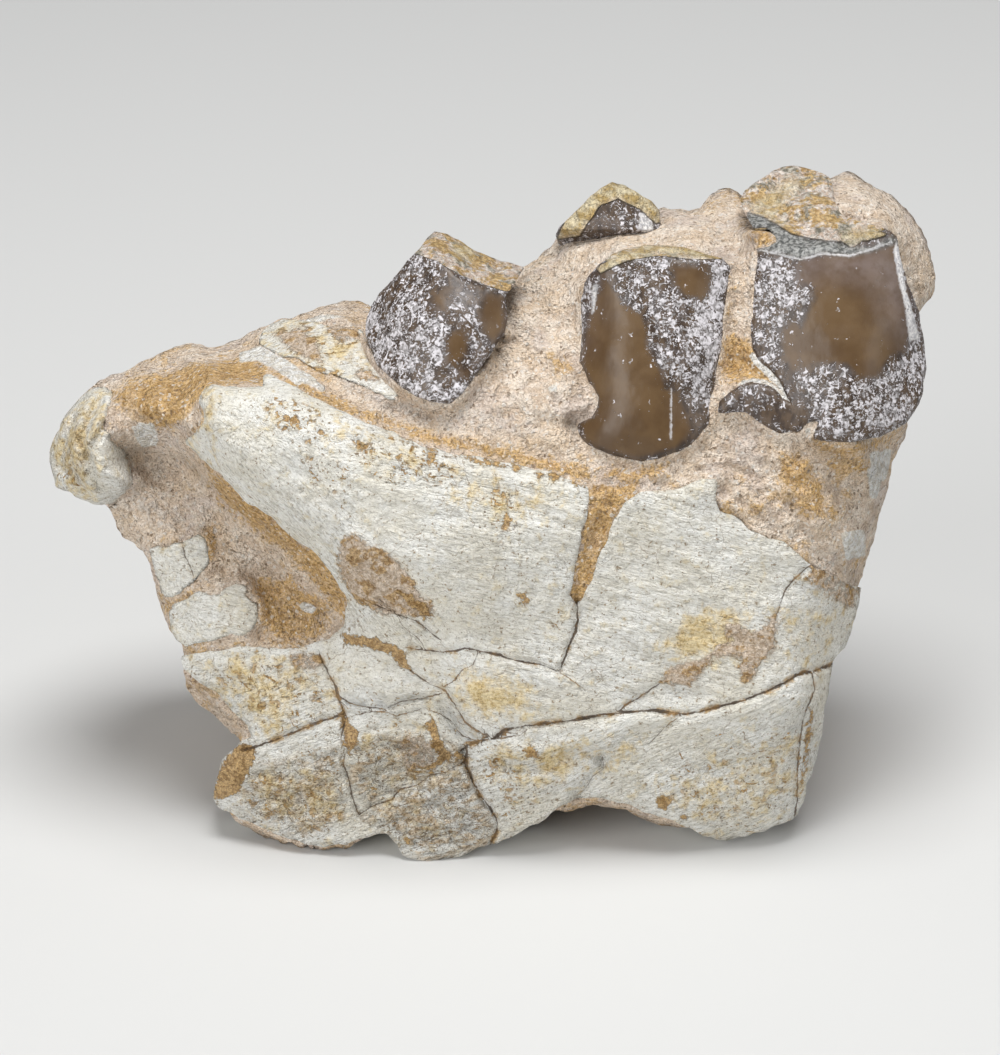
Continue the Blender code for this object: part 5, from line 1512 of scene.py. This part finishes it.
def enamel_material():
    """Dark, glossy enamel with whitish flakes, and the dull colours of its worn tops."""
    material, tree, shader = new_material("fossil_enamel", 0.3, 0.5)
    place = place_in_mm(tree)
    broad = noise(place, 5.0, 3.0)
    middle = noise(place, 1.8, 4.0, 0.6)
    fine = noise(place, 0.6, 4.0, 0.6)
    flake_noise = noise(place, 0.85, 4.0, 0.62, 1.0)
    speck_noise = noise(place, 0.3, 2.0, 0.6, 0.5)
    patches = noise(place, 2.0, 3.0, 0.6)
    streaks = noise(place_in_mm(tree, 0.0, (1.0, 1.0, 5.0)), 1.1, 4.0, 0.6)
    kinds = ("bare", "flaky", "worn", "painted_sheen", "band", "white", "yellow")
    bare, flaky, worn, painted_sheen, band, white, yellow = (attribute(tree, kind) for kind in kinds)

    colour = mottled(streaks, 0.38, 0.62, (0.045, 0.029, 0.02), (0.1, 0.066, 0.041))
    smooth_brown = mottled(broad, 0.35, 0.65, (0.09, 0.048, 0.017), (0.125, 0.072, 0.029))
    # Painted sheen: a milky veil on the glossy enamel
    painted_sheen_colour = mottled(middle, 0.35, 0.65, (0.13, 0.095, 0.085), (0.21, 0.17, 0.165))
    level = plus(0.695, times(flaky, -0.17), times(swing(patches, -0.3), flaky), times(bare, 0.03))
    flakes = rise(calc("SUBTRACT", flake_noise, level), -0.01, 0.02)
    specks = rise(calc("SUBTRACT", speck_noise, plus(level, 0.06)), -0.01, 0.02)
    flakes = calc("MAXIMUM", flakes, specks)
    chips = times(dots(shifted(place, 0.7, 2.0), 1.3, 0.3, 0.3), rise(bare, 0.3, 0.8))
    all_flakes = calc("MAXIMUM", flakes, times(chips, rise(patches, 0.46, 0.54)))
    film = times(rise(flaky, 0.3, 0.9), rise(patches, 0.44, 0.56))
    colour = laid_over(
        colour,
        (rise(bare, 0.2, 0.7), 1.0, smooth_brown),
        # Painted sheen
        (painted_sheen, 0.6, painted_sheen_colour),
        (all_flakes, 0.92, mottled(fine, 0.38, 0.6, (0.26, 0.245, 0.24), (0.8, 0.77, 0.8))),
        (film, 0.15, (0.36, 0.34, 0.35)),
        (band, 0.9, mottled(fine, 0.4, 0.62, (0.085, 0.09, 0.085), (0.4, 0.4, 0.38))),
    )
    # Chalky white lines, and painted highlights down the right tooth's right edge and the middle tooth's
    # left edge
    chalk_and_highlight_colour = mottled(fine, 0.4, 0.6, (0.82, 0.8, 0.78), (0.5, 0.49, 0.5))
    colour = blend(rise(plus(white, swing(fine, 0.6)), 0.35, 0.6), colour, chalk_and_highlight_colour)

    grey_green = mottled(fine, 0.4, 0.6, (0.2, 0.185, 0.14), (0.56, 0.52, 0.44))
    pinkish = mottled(fine, 0.4, 0.6, (0.6, 0.46, 0.36), (0.86, 0.79, 0.72))
    orange = mottled(fine, 0.4, 0.6, (0.42, 0.25, 0.07), (0.74, 0.5, 0.2))
    worn_colour = laid_over(
        mottled(noise(place, 2.6, 4.0, 0.65), 0.48, 0.58, pinkish, grey_green),
        (rise(noise(place, 3.4, 5.0, 0.7), 0.48, 0.56), 0.85, orange),
        (yellow, 1.0, mottled(middle, 0.4, 0.6, (0.78, 0.68, 0.46), (0.5, 0.36, 0.15))),
        (rise(speck_noise, 0.56, 0.62), 0.6, (0.2, 0.15, 0.1)),
    )
    worn_mask = rise(plus(calc("MAXIMUM", worn, yellow), swing(middle, 0.4)), 0.4, 0.6)
    worn_mask = times(worn_mask, fall_off(band, 0.3, 0.7))
    colour = blend(worn_mask, colour, worn_colour)
    height = plus(
        times(flakes, 0.12),
        times(streaks, 0.05),
        times(flakes, fine, 0.2),
        times(white, fine, 0.2),
        times(worn_mask, middle, 2.2),
        times(worn_mask, fine, 0.6),
        times(band, fine, 0.15),
    )
    bump(shader, height)
    feed(shader.inputs["Base Color"], colour)
    rough = plus(0.4, times(all_flakes, 0.35), times(worn_mask, 0.5), times(white, 0.3))
    feed(shader.inputs["Roughness"], calc("MINIMUM", rough, 0.9))
    return material


# Pieces of bone: name, CAD node, outline, raised mm, rim mm, thin back (thickness mm, rim mm) or none,
# step of the grid in px, rows of the wall, gap to the matrix in mm
BONES = [
    ("bone_plate", "jaw_bone", JAW_OUTLINE, 0.5, 0.5, None, 2.2, 9, 0.3),
    ("bone_knob", "bone_lump", LUMP_OUTLINE, 0.5, 1.6, (9.0, 4.0), 1.9, 16, 0.12),
    ("bone_flake_1", "bone_flake_upper", UPPER_FLAKE_OUTLINE, 0.7, 0.4, (3.5, 1.0), 1.9, 16, 0.12),
    ("bone_flake_2", "bone_flake_lower", LOWER_FLAKE_OUTLINE, 0.7, 0.4, (3.5, 1.0), 1.9, 16, 0.12),
    ("bone_socket", "socket_rim", SOCKET_OUTLINE, 0.35, 0.5, (5.0, 1.0), 1.9, 16, 0.12),
]
# Pieces of enamel: name, CAD node, outline, face, chewed top, rim mm, back y mm, back rim mm, taper
TEETH = [
    ("tooth_1", "tooth_left", LEFT_TOOTH_OUTLINE, left_tooth_depth, left_tooth_chewed,
        0.6, 9.0, 4.0, 0.3),
    ("tooth_2", "tooth_middle", MIDDLE_TOOTH_OUTLINE, middle_tooth_depth, middle_tooth_chewed,
        0.6, 15.0, 4.0, 0.2),
    ("tooth_2_cusp", "tooth_middle", INNER_CUSP_OUTLINE, inner_cusp_depth, inner_cusp_chewed,
        0.8, 22.0, 4.0, 0.2),
    ("tooth_3", "tooth_right", RIGHT_TOOTH_OUTLINE, right_tooth_depth, right_tooth_chewed,
        0.6, 23.0, 5.0, 0.3),
]
TOOTH_STEP = 1.7
TOOTH_ROWS = 40
TOOTH_RAGGED = 0.16
# Halves of the matrix: name, step of the grid in px, rows of the wall, share of the depth
BLOCK_HALVES = [("matrix_front", 2.6, 14, (0.0, 0.34)), ("matrix_back", 3.6, 34, (0.32, 1.0))]
BLOCK_TAPER = 0.16
BLOCK_RAGGED = 0.35


def add_piece(body, node, material):
    """Puts a body in the place of its CAD node."""
    body.data.materials.append(material)
    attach(body, "root")
    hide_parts(node)


def set_patches(body, px, py, patches, softness, fade):
    """Stores the field of each kind of patch on a body."""
    for kind, soft in softness.items():
        set_field(body, kind, patch_field(px, py, patches[kind], soft) * fade)


covers = []
banks = []

bone_look = bone_material()
for name, node, outline, raised, rim, thin, step, rows, gap in BONES:
    front = bone_front(outline, raised, rim)
    back = thin_back(outline, *thin) if thin else bone_back
    body, px, py, share = pillow(name, outline, step, front, back, rows)
    fade = np.clip(1.0 - share * 3.0, 0.0, 1.0)
    set_patches(body, px, py, BONE_PATCHES, BONE_SOFTNESS, fade)
    signed, width = crack_lines(px, py)
    set_field(body, "crack", signed)
    set_field(body, "crack_width", width * fade)
    add_piece(body, node, bone_look)
    covers.append((outline, front, 1.0))
    banks.append((outline, front, gap, 0.9))

enamel_look = enamel_material()
for name, node, outline, face, chewed, rim, back_y, back_rim, taper in TEETH:
    front = tooth_front(face, chewed, outline, rim)
    back = tooth_back(outline, back_y, back_rim)
    body, px, py, share = pillow(name, outline, TOOTH_STEP, front, back, TOOTH_ROWS, taper, TOOTH_RAGGED)
    on_front = share == 0.0
    kinds = {kind: np.zeros(len(px)) for kind in ENAMEL_SOFTNESS}
    for kind, patches in ENAMEL_PATCHES[name].items():
        weights = [
            strength * patch_weight(px, py, patch, ENAMEL_SOFTNESS[kind]) * on_front
            for strength, patch in patches
        ]
        kinds[kind] = sum(weights) if kind == "flaky" else np.max(weights, axis=0)
    kinds["flaky"] = (1.0 - kinds["bare"]) * np.clip(FLAKY_ENAMEL[name] + kinds["flaky"], 0.0, 1.5)
    kinds["worn"] = np.clip(0.5 + (chewed(px, py) - face(px, py)) / 1.2, 0.0, 1.0) * on_front
    for kind, values in kinds.items():
        set_field(body, kind, values)
    add_piece(body, node, enamel_look)
    if name != "tooth_2_cusp":
        covers.append((outline, front, 1.0))
        banks.append((outline, face, 0.4, 1.5))

matrix_look = matrix_material()
block_front = sunk_under(banked_up(matrix_front, banks), covers)
for name, step, rows, span in BLOCK_HALVES:
    body, px, py, share = pillow(
        name, BLOCK_OUTLINE, step, block_front, matrix_back, rows, BLOCK_TAPER, BLOCK_RAGGED, span
    )
    fade = np.clip(1.0 - share * 8.0, 0.0, 1.0)
    set_patches(body, px, py, MATRIX_PATCHES, MATRIX_SOFTNESS, fade)
    add_piece(body, "matrix", matrix_look)

floor_mesh = bpy.data.meshes.new("floor")
floor_mesh.from_pydata([(-4, -4, 0), (4, -4, 0), (4, 4, 0), (-4, 4, 0)], [], [(0, 1, 2, 3)])
floor = new_object("floor", floor_mesh)
floor_look, _, floor_shader = new_material("pale_floor", 0.8, 0.3)
floor_shader.inputs["Base Color"].default_value = (0.64, 0.64, 0.63, 1.0)
floor_mesh.materials.append(floor_look)

# Lights, all aimed at the middle of the fossil: name, place in metres, size in metres, power
LIT_POINT = Vector((0.0, 0.0, 0.04))
LIGHTS = [
    ("light_above", (0.05, -0.05, 0.85), 0.5, 6.7),
    ("light_front", (-0.75, -0.8, 0.5), 0.8, 7.6),
    ("light_right", (0.9, -0.5, 0.45), 0.6, 2.1),
]
for name, place, size, power in LIGHTS:
    lamp = bpy.data.lights.new(name, "AREA")
    lamp.shape = "DISK"
    lamp.size = size
    lamp.energy = power
    body = new_object(name, lamp)
    body.location = place
    body.rotation_euler = (LIT_POINT - Vector(place)).to_track_quat("-Z", "Y").to_euler()

world = bpy.data.worlds.new("studio")
bpy.context.scene.world = world
world.use_nodes = True
world.node_tree.nodes["Background"].inputs["Color"].default_value = (0.9, 0.92, 0.95, 1.0)
world.node_tree.nodes["Background"].inputs["Strength"].default_value = 0.19

SENSOR_MM = 36.0
camera_data = bpy.data.cameras.new("camera")
camera = new_object("camera", camera_data)
camera.location = (
    ORIGIN_MM[0] * 0.001,
    (ORIGIN_MM[1] - EYE_MM * math.cos(EYE_TILT)) * 0.001,
    (ORIGIN_MM[2] + EYE_MM * math.sin(EYE_TILT)) * 0.001,
)
camera.rotation_euler = (math.radians(90.0) - EYE_TILT, 0.0, 0.0)
camera_data.sensor_width = SENSOR_MM
camera_data.lens = SENSOR_MM * EYE_MM / (2.0 * CENTRE_PY * UNIT_MM)
camera_data.clip_start = 0.01
bpy.context.scene.camera = camera
bpy.context.scene.view_settings.view_transform = "Standard"
